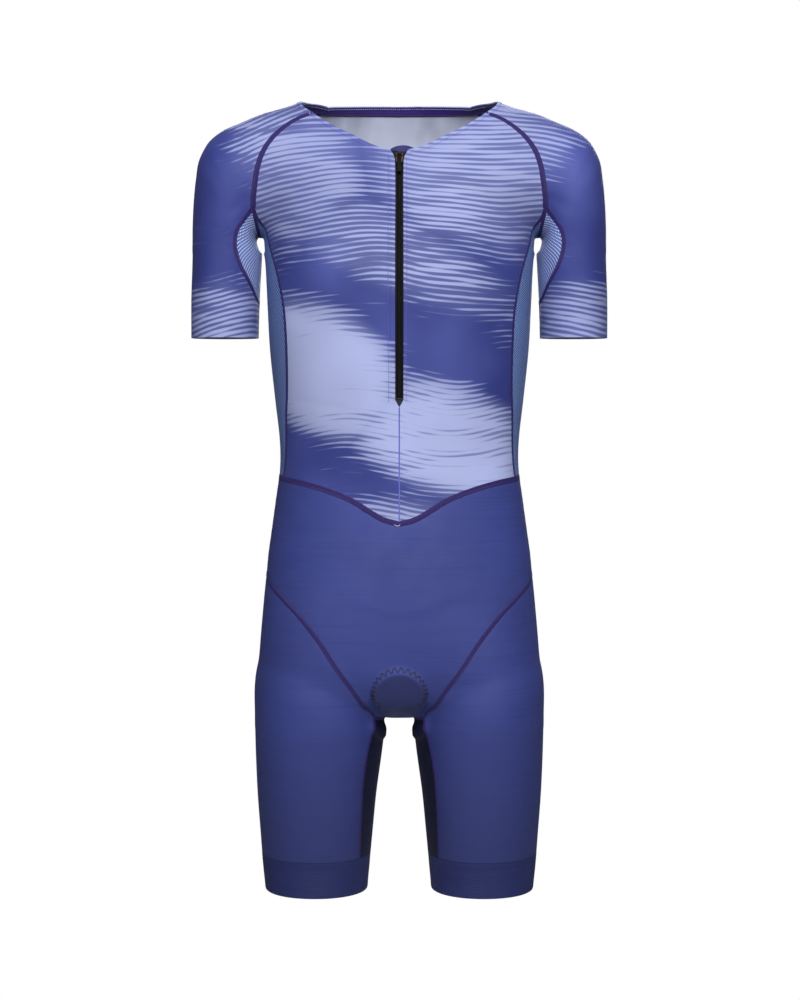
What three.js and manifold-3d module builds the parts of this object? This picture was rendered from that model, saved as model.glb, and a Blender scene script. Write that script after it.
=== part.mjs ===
import * as THREE from 'three';
import Module from 'manifold-3d';
import { mergeVertices } from 'three/addons/utils/BufferGeometryUtils.js';

// A short-sleeved triathlon suit, filled out as when worn and hollow all through.
// Millimetres, +Z up, the front faces -Y, +X is the wearer's left.
// The origin is at shoulder height, midway between the shoulders.

// Cloth and seams
const wall = 2;
const seamGap = 0.3;
const hemZ = -840;
const bandTopZ = -800;
const cuffZ = -240;
// Keeps the corner of a panel from being drawn back too far where it is sharp
const leastSpread = 0.25;

// How points are found on the cloth: half the stretch a slope is measured over, the least
// slope, the moves a point may take, and the steps of a cast out of a limb
const search = { probe: 0.2, leastSlope: 0.05, moves: 12 };
const cast = { from: 10, step: 4, reach: 300, halvings: 22 };
// A turn this near to half a round lies on the seam inside a limb, in radians
const seamTurn = 0.02;
// Keeps a division clear of zero, and how near two corners are when they are one
const leastLength = 1e-9;
const weldDistance = 1e-4;

// Half widths and depths of the torso, a row for each level
const torsoRows = [
  { at: 60, side: 60, front: 46, back: 54 },
  { at: 40, side: 68, front: 50, back: 60 },
  { at: 20, side: 84, front: 55, back: 66 },
  { at: 0, side: 106, front: 64, back: 74 },
  { at: -25, side: 128, front: 76, back: 82 },
  { at: -50, side: 141, front: 86, back: 89 },
  { at: -80, side: 147, front: 96, back: 95 },
  { at: -110, side: 147.5, front: 104, back: 99 },
  { at: -143, side: 145.2, front: 110, back: 99 },
  { at: -198, side: 142.6, front: 112, back: 95 },
  { at: -252, side: 139.9, front: 104, back: 87 },
  { at: -307, side: 134.3, front: 96, back: 80 },
  { at: -350, side: 129.6, front: 92, back: 77 },
  { at: -380, side: 129.4, front: 91, back: 78 },
  { at: -415, side: 134, front: 93, back: 83 },
  { at: -448, side: 138.6, front: 96, back: 91 },
  { at: -481, side: 143, front: 99, back: 99 },
  { at: -524, side: 145, front: 101, back: 106 },
  { at: -568, side: 139, front: 99, back: 109 },
  { at: -600, side: 124, front: 94.5, back: 106 },
  { at: -625, side: 98, front: 82, back: 95 },
  { at: -645, side: 62, front: 62, back: 74 },
  { at: -665, side: 45, front: 45, back: 55 },
];
const torsoRound = 2.25;
const crotchZ = -642;
const crotchBlend = 24;

// Rings of the arm, fanned about a line through the armpit.
// at: degrees of fan above the armpit (negative), or millimetres below it.
const armPivot = { x: 148.4, z: -148 };
const armRows = [
  { at: -140, inner: 20, outer: 195.9, front: 60, back: 70 },
  { at: -118, inner: 20, outer: 170.9, front: 60, back: 70 },
  { at: -104, inner: 20, outer: 155.5, front: 60, back: 69 },
  { at: -92, inner: 18, outer: 149, front: 58, back: 66 },
  { at: -81, inner: 17, outer: 140.5, front: 57, back: 64 },
  { at: -73, inner: 16, outer: 137, front: 56.5, back: 62 },
  { at: -65, inner: 14, outer: 131.5, front: 56, back: 60 },
  { at: -60, inner: 10.5, outer: 125.2, front: 55.5, back: 58 },
  { at: -55, inner: 8, outer: 118, front: 55, back: 57 },
  { at: -48, inner: 5.6, outer: 105.5, front: 54, back: 55 },
  { at: -38, inner: 3, outer: 92.5, front: 52.5, back: 53 },
  { at: -26, inner: 1, outer: 82.5, front: 51, back: 51 },
  { at: -12, inner: -0.1, outer: 76.3, front: 50, back: 50 },
  { at: 0, inner: -0.1, outer: 74.8, front: 49.5, back: 49.5 },
  { at: 12, inner: 0.5, outer: 74.9, front: 49, back: 49 },
  { at: 50, inner: 2.7, outer: 76.3, front: 48, back: 48 },
  { at: 95, inner: 4.1, outer: 76.5, front: 47, back: 47 },
  { at: 130, inner: 4.1, outer: 76.5, front: 46.5, back: 46.5 },
];
const armRound = 2.15;
const armFadeZ = -262;
const armFade = 0.6;
const armBlend = { low: 7, high: 50, from: 8, to: 80 };

// Rings of the leg, fanned in the same way about a line just under the crotch
const legPivot = { x: 6, z: -662 };
const legRows = [
  { at: -90, inner: 20, outer: 250, front: 72, back: 76 },
  { at: -70, inner: 20, outer: 220, front: 76, back: 82 },
  { at: -58, inner: 19, outer: 204, front: 80, back: 88 },
  { at: -53, inner: 18, outer: 193, front: 83, back: 91 },
  { at: -45, inner: 16, outer: 181.5, front: 85.5, back: 94.5 },
  { at: -34, inner: 14, outer: 169.5, front: 87.5, back: 97.5 },
  { at: -21, inner: 11.5, outer: 161, front: 89, back: 99.5 },
  { at: -8, inner: 10, outer: 153.2, front: 88.7, back: 98.5 },
  { at: 0, inner: 10, outer: 151.5, front: 87.8, back: 96.8 },
  { at: 8, inner: 10.5, outer: 151.2, front: 86.7, back: 95.2 },
  { at: 32, inner: 13.4, outer: 150.6, front: 82.5, back: 89.8 },
  { at: 73, inner: 19, outer: 148.9, front: 75.5, back: 81 },
  { at: 117, inner: 23.3, outer: 145.8, front: 68, back: 72 },
  { at: 150, inner: 26.4, outer: 143.4, front: 63, back: 65 },
  { at: 173, inner: 28.5, outer: 141.1, front: 60.5, back: 62 },
  { at: 200, inner: 30, outer: 138.6, front: 58, back: 60 },
];
const legRound = 2.1;
const legBlend = { low: 6, high: 32, from: 0, to: 100 };
const legParting = 25;

// The front of the seat pad pushes the cloth out in a low dome
const padDome = { top: -617, bottom: -650, radius: 34, soft: 11, lift: 5, behind: -30 };

// Seams on the wearer's left, as points that are then settled on the cloth
const neckFrontSeam = [
  { x: 9.5, y: -86, z: -46.5 },
  { x: 21, y: -85, z: -44 },
  { x: 35, y: -82, z: -38 },
  { x: 50, y: -77, z: -30 },
  { x: 66, y: -71, z: -22 },
  { x: 83, y: -61, z: -11 },
  { x: 92, y: -53, z: -4 },
];
const neckSideSeam = [
  { x: 92, y: -53, z: -4 },
  { x: 101, y: -40, z: 3 },
  { x: 105.8, y: -12, z: 12.4 },
  { x: 100, y: 20, z: 18 },
  { x: 82, y: 50, z: 20 },
];
const neckBackSeam = [
  { x: 82, y: 50, z: 20 },
  { x: 60, y: 60, z: 19 },
  { x: 32, y: 66, z: 18 },
  { x: 0, y: 68, z: 17.5 },
];
const raglanFrontSeam = [
  { x: 92, y: -53, z: -4 },
  { x: 109, y: -52, z: -11 },
  { x: 125.5, y: -55, z: -23 },
  { x: 136, y: -58, z: -34 },
  { x: 143, y: -60, z: -45 },
  { x: 148.3, y: -61, z: -60 },
  { x: 151.6, y: -61, z: -77 },
  { x: 154, y: -55.5, z: -94 },
  { x: 154.5, y: -50, z: -104 },
];
const raglanBackSeam = [
  { x: 82, y: 50, z: 20 },
  { x: 104, y: 56, z: 4 },
  { x: 121, y: 62, z: -14 },
  { x: 134, y: 66, z: -33 },
  { x: 143, y: 68, z: -52 },
  { x: 149, y: 66, z: -71 },
  { x: 153, y: 58, z: -90 },
  { x: 154.5, y: 50, z: -104 },
];
const armpitSeam = [
  { x: 154.5, y: -50, z: -104 },
  { x: 152.5, y: -38, z: -117 },
  { x: 150.5, y: -20, z: -128 },
  { x: 150, y: 0, z: -132 },
  { x: 150.5, y: 20, z: -128 },
  { x: 152.5, y: 38, z: -117 },
  { x: 154.5, y: 50, z: -104 },
];
// The front half, and the back half is its mirror in y
const gussetSeam = [
  { x: 154.5, y: -50, z: -104 },
  { x: 162.3, y: -46, z: -114 },
  { x: 170.5, y: -49, z: -125 },
  { x: 173.8, y: -48.6, z: -137 },
  { x: 172.9, y: -47, z: -150 },
  { x: 167.9, y: -43.5, z: -165 },
  { x: 160, y: -35, z: -180 },
  { x: 153.5, y: -18, z: -197 },
  { x: 151.3, y: 0, z: -203 },
];
const underarmSeam = [
  { x: 151.3, y: 0, z: -203 },
  { x: 152.4, y: 0, z: cuffZ },
];
const sideSeam = [
  { x: 154.5, y: -50, z: -104 },
  { x: 150.5, y: -42, z: -114.5 },
  { x: 145, y: -36, z: -129 },
  { x: 138, y: -43, z: -145 },
  { x: 130, y: -55, z: -168 },
  { x: 124.5, y: -62, z: -193 },
  { x: 121.3, y: -64, z: -216 },
  { x: 119.5, y: -61, z: -252 },
  { x: 119, y: -53, z: -294 },
  { x: 120.6, y: -44, z: -328 },
  { x: 124.6, y: -33, z: -391 },
];
const waistFrontSeam = [
  { x: 0, y: -95, z: -435.6 },
  { x: 16, y: -94, z: -431.5 },
  { x: 33, y: -92, z: -422 },
  { x: 49.5, y: -88, z: -412 },
  { x: 75, y: -80, z: -402 },
  { x: 101, y: -64, z: -395 },
  { x: 124.6, y: -33, z: -391 },
];
const waistSideSeam = [
  { x: 124.6, y: -33, z: -391 },
  { x: 129.6, y: 0, z: -389.5 },
  { x: 124.6, y: 30, z: -390 },
];
const waistBackSeam = [
  { x: 124.6, y: 30, z: -390 },
  { x: 100, y: 56, z: -391 },
  { x: 60, y: 75, z: -394 },
  { x: 0, y: 80, z: -397 },
];
const hipSideSeam = [
  { x: 129.6, y: 0, z: -389.5 },
  { x: 138, y: 0, z: -430 },
  { x: 146, y: 0, z: -493 },
];
const hipFrontSeam = [
  { x: 146, y: 0, z: -493 },
  { x: 142.4, y: -28, z: -501 },
  { x: 126.6, y: -61.5, z: -516 },
  { x: 105.5, y: -82, z: -535.5 },
  { x: 84, y: -93, z: -561.5 },
  { x: 67.3, y: -94, z: -587 },
  { x: 50.8, y: -86, z: -610 },
  { x: 34.3, y: -67, z: -634 },
  { x: 25.5, y: -56, z: -645 },
];
const hipBackSeam = [
  { x: 146, y: 0, z: -493 },
  { x: 141, y: 32, z: -502 },
  { x: 124, y: 68, z: -520 },
  { x: 102, y: 90, z: -545 },
  { x: 80, y: 100, z: -573 },
  { x: 60, y: 98, z: -600 },
  { x: 42, y: 84, z: -625 },
  { x: 26.5, y: 62, z: -646 },
];
const crotchSeam = [
  { x: 25.5, y: -56, z: -645 },
  { x: 19.5, y: -28, z: -647 },
  { x: 18.5, y: 0, z: -647 },
  { x: 19.5, y: 30, z: -647 },
  { x: 26.5, y: 62, z: -646 },
];
const innerLegFrontSeam = [
  { x: 25.5, y: -56, z: -645 },
  { x: 29.2, y: -53, z: -661 },
  { x: 34.5, y: -55, z: -681 },
  { x: 38.8, y: -53.5, z: -708 },
  { x: 41.1, y: -49, z: -737 },
  { x: 42.2, y: -45, z: -766 },
  { x: 43.2, y: -40, z: bandTopZ },
];
const innerLegBackSeam = [
  { x: 26.5, y: 62, z: -646 },
  { x: 30, y: 58, z: -661 },
  { x: 34.5, y: 58, z: -681 },
  { x: 38.8, y: 56, z: -708 },
  { x: 41.1, y: 52, z: -737 },
  { x: 42.2, y: 47, z: -766 },
  { x: 43.2, y: 42, z: bandTopZ },
];

// How many stretches each seam is cut into, for the facets
const steps = {
  neckFront: 8,
  neckSide: 18,
  neckBack: 12,
  raglan: 10,
  side: 14,
  armpit: 6,
  gusset: 8,
  gussetEnd: 5,
  underarm: 3,
  waistSide: 6,
  hipSide: 4,
  hip: 14,
  hipArch: 6,
  crotch: 6,
  innerLeg: 9,
  zip: 16,
  belly: 7,
  bandHeight: 2,
  guard: 4,
};

// The zip up the front
const zip = {
  edge: 4.6,
  topEdge: 9.5,
  funnelEdge: 5.4,
  topZ: -46.5,
  funnelZ: -55,
  straightZ: -69,
  endZ: -306,
  footZ: -314,
  tapeWide: 13,
  tapeThick: 1,
  coilHalf: 2.9,
  coilBack: 2,
  coilThick: 1.6,
  guardLeft: 20,
  guardRight: -12,
  guardThick: 1.2,
  guardRise: 6,
};
// The edge of a front along the zip, and the seam from the zip's foot to the waist's point
const zipEdge = [
  { x: zip.topEdge, y: -86, z: zip.topZ },
  { x: zip.funnelEdge, y: -87, z: zip.funnelZ },
  { x: zip.edge, y: -90, z: zip.straightZ },
  { x: zip.edge, y: -112, z: -150 },
  { x: zip.edge, y: -110, z: -230 },
  { x: zip.edge, y: -96, z: zip.endZ },
];
const bellySeam = [
  { x: 0, y: -95, z: zip.footZ },
  { x: 0, y: -92, z: -370 },
  { x: 0, y: -95, z: -435.6 },
];
const slider = {
  wide: 8,
  neckWide: 6,
  long: 11,
  deep: 4.2,
  fromTop: 1.5,
  lugWide: 1.1,
  lugLong: 3.4,
  lugHigh: 2.3,
  lugSink: 0.1,
  shoulder: 0.55,
  pinAlong: 2.6,
  pinHigh: 1.5,
  pinRadius: 0.5,
};
const pull = { wide: 4.2, long: 20, thick: 1.4, knuckle: 1.25, bore: 0.8 };
const roundSegments = 10;

// The band inside the back of the neck, and the seat pad
const neckTape = { wide: 9, thick: 1 };
const pad = { thick: 5, gap: 1.7, rows: 22, across: 8 };
// at: share of the way from the front end, under the crotch, to the back end
const padRows = [
  { at: 0, half: 9, y: -97, z: -584 },
  { at: 0.06, half: 19, y: -95, z: -589 },
  { at: 0.14, half: 26, y: -88, z: -602 },
  { at: 0.24, half: 26, y: -72, z: -624 },
  { at: 0.34, half: 20, y: -46, z: -640 },
  { at: 0.45, half: 15, y: -18, z: -642 },
  { at: 0.56, half: 15, y: 14, z: -642 },
  { at: 0.68, half: 22, y: 48, z: -640 },
  { at: 0.8, half: 40, y: 80, z: -622 },
  { at: 0.92, half: 46, y: 100, z: -596 },
  { at: 1, half: 34, y: 108, z: -578 },
];

// Colours of the pieces
const colours = {
  upper: 0x6f73bd,
  sleeve: 0x5b5fb0,
  mesh: 0x7393cc,
  back: 0x8f95b8,
  shorts: 0x3d4290,
  inner: 0x15173a,
  tape: 0x2b1f66,
  zip: 0x0d0d12,
  metal: 0x7a5f42,
  pad: 0x2a2c50,
};
const finishes = {
  cloth: { roughness: 0.7, metalness: 0 },
  coil: { roughness: 0.45, metalness: 0 },
  metal: { roughness: 0.4, metalness: 0.8 },
  tab: { roughness: 0.5, metalness: 0.3 },
};

// Values of a table between its rows, by smooth steps through them
function tableAt(rows, keys, at) {
  const descending = rows[0].at > rows[rows.length - 1].at;
  const list = descending ? [...rows].reverse() : rows;
  const last = list.length - 1;
  const place = Math.min(Math.max(at, list[0].at), list[last].at);
  let i = 0;
  while (i < last - 1 && list[i + 1].at <= place) i += 1;
  const low = list[i];
  const high = list[i + 1];
  const before = list[Math.max(i - 1, 0)];
  const after = list[Math.min(i + 2, last)];
  const span = high.at - low.at;
  const t = (place - low.at) / span;
  return keys.map((key) => {
    const slopeLow = (high[key] - before[key]) / (high.at - before.at);
    const slopeHigh = (after[key] - low[key]) / (after.at - low.at);
    const a = low[key] * (2 * t ** 3 - 3 * t ** 2 + 1) + high[key] * (3 * t ** 2 - 2 * t ** 3);
    return a + span * (slopeLow * (t ** 3 - 2 * t ** 2 + t) + slopeHigh * (t ** 3 - t ** 2));
  });
}

function smooth(from, to, at) {
  const t = Math.min(Math.max((at - from) / (to - from), 0), 1);
  return t * t * (3 - 2 * t);
}

function smoothMin(a, b, blend) {
  const near = Math.max(blend - Math.abs(a - b), 0) / blend;
  return Math.min(a, b) - near * near * blend / 4;
}

// Roughly the distance outside an oval of the given half sizes, below zero inside it
function oval(u, w, halfU, halfW, round) {
  const r = Math.hypot(u, w) + leastLength;
  const g = ((Math.abs(u) / halfU) ** round + (Math.abs(w) / halfW) ** round) ** (1 / round);
  return r * (1 - 1 / (g + leastLength));
}

function torsoField(x, y, z) {
  const [side, front, back] = tableAt(torsoRows, ['side', 'front', 'back'], z);
  const ring = oval(x, y, side, y < 0 ? front : back, torsoRound);
  return -smoothMin(-ring, z - crotchZ, crotchBlend);
}

// The ring of a limb that a point lies in, and how far out from the pivot it is
function fanOf(x, z, pivot) {
  const dx = x - pivot.x;
  const dz = z - pivot.z;
  if (dz <= 0) return { at: -dz, out: dx };
  return { at: -THREE.MathUtils.radToDeg(Math.atan2(dz, dx)), out: Math.hypot(dx, dz) };
}

function limbField(x, y, z, pivot, rows, round) {
  const fan = fanOf(x, z, pivot);
  const [inner, outer, front, back] = tableAt(rows, ['inner', 'outer', 'front', 'back'], fan.at);
  const middle = (inner + outer) / 2;
  return oval(fan.out - middle, y, (outer - inner) / 2, y < 0 ? front : back, round);
}

// Zero on the cloth's outer face, negative inside the suit
function field(x, y, z) {
  const armX = Math.abs(x);
  const arm = limbField(armX, y, z, armPivot, armRows, armRound)
    + armFade * Math.max(0, armFadeZ - z);
  const armShare = smooth(armBlend.from, armBlend.to, z - armPivot.z);
  const armSoft = armBlend.low + (armBlend.high - armBlend.low) * armShare;
  let f = smoothMin(torsoField(armX, y, z), arm, armSoft);
  const legShare = smooth(legBlend.from, legBlend.to, z - legPivot.z);
  const legSoft = legBlend.low + (legBlend.high - legBlend.low) * legShare;
  const parted = smooth(-legParting, 0, z - legPivot.z);
  for (const side of [1, -1]) {
    const across = Math.max(0, legPivot.x - side * x) * parted;
    f = smoothMin(f, limbField(side * x, y, z, legPivot, legRows, legRound) + across, legSoft);
  }
  const level = Math.min(Math.max(z, padDome.bottom), padDome.top);
  const fromDome = Math.hypot(x, z - level);
  const dome = 1 - smooth(padDome.radius - padDome.soft, padDome.radius, fromDome);
  return f - padDome.lift * dome * (1 - smooth(padDome.behind, 0, y));
}

function slope(p) {
  const e = search.probe;
  return new THREE.Vector3(
    (field(p.x + e, p.y, p.z) - field(p.x - e, p.y, p.z)) / (2 * e),
    (field(p.x, p.y + e, p.z) - field(p.x, p.y - e, p.z)) / (2 * e),
    (field(p.x, p.y, p.z + e) - field(p.x, p.y, p.z - e)) / (2 * e),
  );
}

function settleBy(p, level) {
  const q = p.clone();
  for (let i = 0; i < search.moves; i += 1) {
    const g = slope(q);
    if (level) g.z = 0;
    q.addScaledVector(g, -field(q.x, q.y, q.z) / Math.max(g.lengthSq(), search.leastSlope));
  }
  return q;
}

function settle(p) {
  return settleBy(p, false);
}

// Keeps a point's height while it settles, for edges that are cut level
function settleLevel(p) {
  return settleBy(p, true);
}

function outward(p) {
  return slope(p).normalize();
}

function vectors(rows) {
  return rows.map((row) => new THREE.Vector3(row.x, row.y, row.z));
}

function mirrorY(points) {
  return points.map((p) => new THREE.Vector3(p.x, -p.y, p.z));
}

function mirrorX(points) {
  return points.map((p) => new THREE.Vector3(-p.x, p.y, p.z));
}

// A seam through its points, in even stretches on the cloth
function seam(points, count, rest = settle) {
  const curve = new THREE.CatmullRomCurve3(points.map(rest), false, 'centripetal');
  return curve.getSpacedPoints(count).map(rest);
}

// One run of points from seams that follow each other
function chain(...runs) {
  return runs.reduce((all, run) => all.concat(all.length ? run.slice(1) : run), []);
}

function reversed(points) {
  return [...points].reverse();
}

// A symmetric seam from the right to the left, from its left half that starts at the middle
function across(half) {
  return chain(reversed(mirrorX(half)), half);
}

// Fills four edges with a grid of rows from the top edge to the bottom edge
function blendEdges(top, bottom, left, right, dims) {
  const rows = left.length - 1;
  const columns = top.length - 1;
  const grid = [];
  for (let j = 0; j <= rows; j += 1) {
    const v = j / rows;
    const row = [];
    for (let i = 0; i <= columns; i += 1) {
      const u = i / columns;
      const value = [];
      for (let k = 0; k < dims; k += 1) {
        const ruled = (1 - v) * top[i][k] + v * bottom[i][k] + (1 - u) * left[j][k] + u * right[j][k];
        const corners = (1 - v) * ((1 - u) * top[0][k] + u * top[columns][k])
          + v * ((1 - u) * bottom[0][k] + u * bottom[columns][k]);
        value.push(ruled - corners);
      }
      row.push(value);
    }
    grid.push(row);
  }
  return grid;
}

// Puts the true seam points back on the rim of a grid
function keepEdges(grid, top, bottom, left, right) {
  const rows = grid.length - 1;
  const columns = grid[0].length - 1;
  for (let i = 0; i <= columns; i += 1) {
    grid[0][i] = top[i];
    grid[rows][i] = bottom[i];
  }
  for (let j = 0; j <= rows; j += 1) {
    grid[j][0] = left[j];
    grid[j][columns] = right[j];
  }
  return grid;
}

// A panel that bends little enough to be blended in space
function spacePanel(top, bottom, left, right) {
  const flat = (points) => points.map((p) => p.toArray());
  const grid = blendEdges(flat(top), flat(bottom), flat(left), flat(right), 3)
    .map((row) => row.map((value) => settle(new THREE.Vector3(...value))));
  return keepEdges(grid, top, bottom, left, right);
}

// A panel that goes round a limb is blended by ring and by turn round the ring
function limbPanel(top, bottom, left, right, pivot, rows) {
  const middleAt = (at) => {
    const [inner, outer] = tableAt(rows, ['inner', 'outer'], at);
    return (inner + outer) / 2;
  };
  const chart = (points, sign) => points.map((p) => {
    const fan = fanOf(p.x, p.z, pivot);
    const turn = Math.atan2(p.y, fan.out - middleAt(fan.at));
    const nearSeam = Math.abs(Math.abs(turn) - Math.PI) < seamTurn;
    return [fan.at, nearSeam && sign ? sign * Math.PI : turn];
  });
  const topChart = chart(top, 0);
  const bottomChart = chart(bottom, 0);
  const columns = bottomChart.length - 1;
  bottomChart[0] = chart([bottom[0]], -1)[0];
  bottomChart[columns] = chart([bottom[columns]], 1)[0];
  const outside = evenRings(topChart[columns / 2][0], bottomChart[0][0], left.length - 1, middleAt, pivot);
  const grid = blendEdges(topChart, bottomChart, chart(left, -1), chart(right, 1), 2)
    .map((row, j) => row.map(([at, turn], i) => {
      const share = Math.sin(Math.PI * i / columns);
      const even = at + (outside[j] - at) * share;
      return castFromRing(even, turn, middleAt(even), pivot);
    }));
  return keepEdges(grid, top, bottom, left, right);
}

// Rings that are evenly spaced along the outer side of a limb
function evenRings(from, to, count, middleAt, pivot) {
  const fine = 60;
  const lengths = [0];
  let before = castFromRing(from, 0, middleAt(from), pivot);
  for (let i = 1; i <= fine; i += 1) {
    const at = from + (to - from) * i / fine;
    const next = castFromRing(at, 0, middleAt(at), pivot);
    lengths.push(lengths[i - 1] + next.distanceTo(before));
    before = next;
  }
  const rings = [];
  for (let j = 0; j <= count; j += 1) {
    const want = lengths[fine] * j / count;
    let i = 1;
    while (i < fine && lengths[i] < want) i += 1;
    const share = (want - lengths[i - 1]) / (lengths[i] - lengths[i - 1]);
    rings.push(from + (to - from) * (i - 1 + share) / fine);
  }
  return rings;
}

function castFromRing(at, turn, middle, pivot) {
  const place = (r) => {
    const out = middle + r * Math.cos(turn);
    const fan = THREE.MathUtils.degToRad(-at);
    const x = at > 0 ? pivot.x + out : pivot.x + out * Math.cos(fan);
    const z = at > 0 ? pivot.z - at : pivot.z + out * Math.sin(fan);
    return new THREE.Vector3(x, r * Math.sin(turn), z);
  };
  const inside = (r) => {
    const p = place(r);
    return field(p.x, p.y, p.z) < 0;
  };
  let near = cast.from;
  let far = near + cast.step;
  while (far < cast.reach && inside(far)) {
    near = far;
    far += cast.step;
  }
  for (let i = 0; i < cast.halvings; i += 1) {
    const half = (near + far) / 2;
    if (inside(half)) near = half;
    else far = half;
  }
  return place(near);
}

// Points round the rim of a grid, as [row, column]
function rimOf(grid) {
  const rows = grid.length - 1;
  const columns = grid[0].length - 1;
  const rim = [];
  for (let i = 0; i < columns; i += 1) rim.push([0, i]);
  for (let j = 0; j < rows; j += 1) rim.push([j, columns]);
  for (let i = columns; i > 0; i -= 1) rim.push([rows, i]);
  for (let j = rows; j > 0; j -= 1) rim.push([j, 0]);
  return rim;
}

// Draws the rim of a panel back by half of the seam gap, square to each stretch of it
function drawBack(grid, normals) {
  const rim = rimOf(grid);
  const at = (k) => {
    const [j, i] = rim[(k + rim.length) % rim.length];
    return grid[j][i];
  };
  const j0 = Math.floor(grid.length / 2);
  const i0 = Math.floor(grid[0].length / 2);
  const alongU = grid[j0][i0 + 1].clone().sub(grid[j0][i0]);
  const alongV = grid[j0 + 1][i0].clone().sub(grid[j0][i0]);
  const inward = alongU.cross(alongV).dot(normals[j0][i0]) > 0 ? 1 : -1;
  const moved = rim.map(([j, i], k) => {
    const n = normals[j][i];
    const before = at(k).clone().sub(at(k - 1)).normalize();
    const after = at(k + 1).clone().sub(at(k)).normalize();
    const inA = n.clone().cross(before).normalize();
    const inB = n.clone().cross(after).normalize();
    const spread = Math.max(1 + inA.dot(inB), leastSpread);
    return inA.add(inB).multiplyScalar(inward * seamGap / 2 / spread);
  });
  rim.forEach(([j, i], k) => {
    grid[j][i] = grid[j][i].clone().add(moved[k]);
  });
}

// Joins an outer and an inner grid into one closed body
function closedBody(outer, inner, ring = false) {
  const rows = outer.length;
  const columns = outer[0].length;
  const points = [...outer.flat(), ...inner.flat()];
  const faces = [];
  const quad = (a, b, c, d) => {
    const short = points[a].distanceToSquared(points[c]) <= points[b].distanceToSquared(points[d]);
    if (short) faces.push([a, b, c], [a, c, d]);
    else faces.push([a, b, d], [b, c, d]);
  };
  const out = (j, i) => j * columns + (i % columns);
  const back = (j, i) => rows * columns + out(j, i);
  const strips = ring ? columns : columns - 1;
  for (let j = 0; j < rows - 1; j += 1) {
    for (let i = 0; i < strips; i += 1) {
      quad(out(j, i), out(j + 1, i), out(j + 1, i + 1), out(j, i + 1));
      quad(back(j, i), back(j, i + 1), back(j + 1, i + 1), back(j + 1, i));
    }
    if (!ring) {
      quad(out(j, 0), back(j, 0), back(j + 1, 0), out(j + 1, 0));
      const end = columns - 1;
      quad(out(j, end), out(j + 1, end), back(j + 1, end), back(j, end));
    }
  }
  for (let i = 0; i < strips; i += 1) {
    quad(out(0, i), out(0, i + 1), back(0, i + 1), back(0, i));
    quad(out(rows - 1, i), back(rows - 1, i), back(rows - 1, i + 1), out(rows - 1, i + 1));
  }
  return bodyFrom(points, faces);
}

function bodyFrom(points, faces) {
  let volume = 0;
  for (const [a, b, c] of faces) {
    volume += points[a].dot(points[b].clone().cross(points[c])) / 6;
  }
  const index = faces.flatMap(([a, b, c]) => (volume > 0 ? [a, b, c] : [a, c, b]));
  const geometry = new THREE.BufferGeometry();
  const flat = points.flatMap((p) => p.toArray());
  geometry.setAttribute('position', new THREE.Float32BufferAttribute(flat, 3));
  geometry.setIndex(index);
  return geometry;
}

// Moves a grid along its normals: below zero is into the suit
function shifted(grid, normals, by) {
  return grid.map((row, j) => row.map((p, i) => p.clone().addScaledVector(normals[j][i], by)));
}

// The cloth of one panel, with its outer face on the form
function clothPanel(grid) {
  const rimNormals = grid.map((row) => row.map(outward));
  drawBack(grid, rimNormals);
  const normals = grid.map((row) => row.map(outward));
  return { outer: grid, normals, geometry: closedBody(grid, shifted(grid, normals, -wall)) };
}

// A strip that lies inside a panel, from depth near to depth far
function liner(grid, normals, near, far) {
  return closedBody(shifted(grid, normals, -near), shifted(grid, normals, -far));
}

const suit = new THREE.Group();
suit.name = 'triathlon_suit';

function addPiece(name, geometry, colour, finish = finishes.cloth) {
  const material = new THREE.MeshStandardMaterial({ color: colour, ...finish });
  geometry.computeVertexNormals();
  const mesh = new THREE.Mesh(geometry, material);
  mesh.name = name;
  suit.add(mesh);
  return mesh;
}

function mirroredGeometry(geometry) {
  const copy = geometry.clone();
  const position = copy.attributes.position;
  for (let i = 0; i < position.count; i += 1) position.setX(i, -position.getX(i));
  const index = [...copy.index.array];
  for (let i = 0; i < index.length; i += 3) [index[i], index[i + 1]] = [index[i + 1], index[i]];
  copy.setIndex(index);
  return copy;
}

function addPair(name, geometry, colour) {
  addPiece(`${name}_left`, geometry, colour);
  addPiece(`${name}_right`, mirroredGeometry(geometry), colour);
}

// The seams, cut into stretches that neighbouring pieces share
const neckFront = seam(vectors(neckFrontSeam), steps.neckFront);
const neckSide = seam(vectors(neckSideSeam), steps.neckSide);
const neckBackHalf = seam(vectors(neckBackSeam), steps.neckBack / 2);
const raglanFront = seam(vectors(raglanFrontSeam), steps.raglan);
const raglanBack = seam(vectors(raglanBackSeam), steps.raglan);
const armpit = seam(vectors(armpitSeam), steps.armpit);
const gussetFront = seam(vectors(gussetSeam), steps.gusset);
const gussetBack = mirrorY(gussetFront).map(settle);
const underarm = seam(vectors(underarmSeam), steps.underarm, settleLevel);
const sideFront = seam(vectors(sideSeam), steps.side);
const sideBackPoints = [...mirrorY(vectors(sideSeam)).slice(0, -1), vectors(waistBackSeam)[0]];
const sideBack = seam(sideBackPoints, steps.side);
const waistFront = seam(vectors(waistFrontSeam), steps.neckFront);
const waistSide = seam(vectors(waistSideSeam), steps.waistSide);
const waistBackHalf = seam(vectors(waistBackSeam), steps.neckBack / 2);
const hipSide = seam(vectors(hipSideSeam), steps.hipSide);
const hipFront = seam(vectors(hipFrontSeam), steps.hip);
const hipBack = seam(vectors(hipBackSeam), steps.hip);
const crotch = seam(vectors(crotchSeam), steps.crotch);
const innerLegFront = seam(vectors(innerLegFrontSeam), steps.innerLeg);
const innerLegBack = seam(vectors(innerLegBackSeam), steps.innerLeg);

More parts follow.
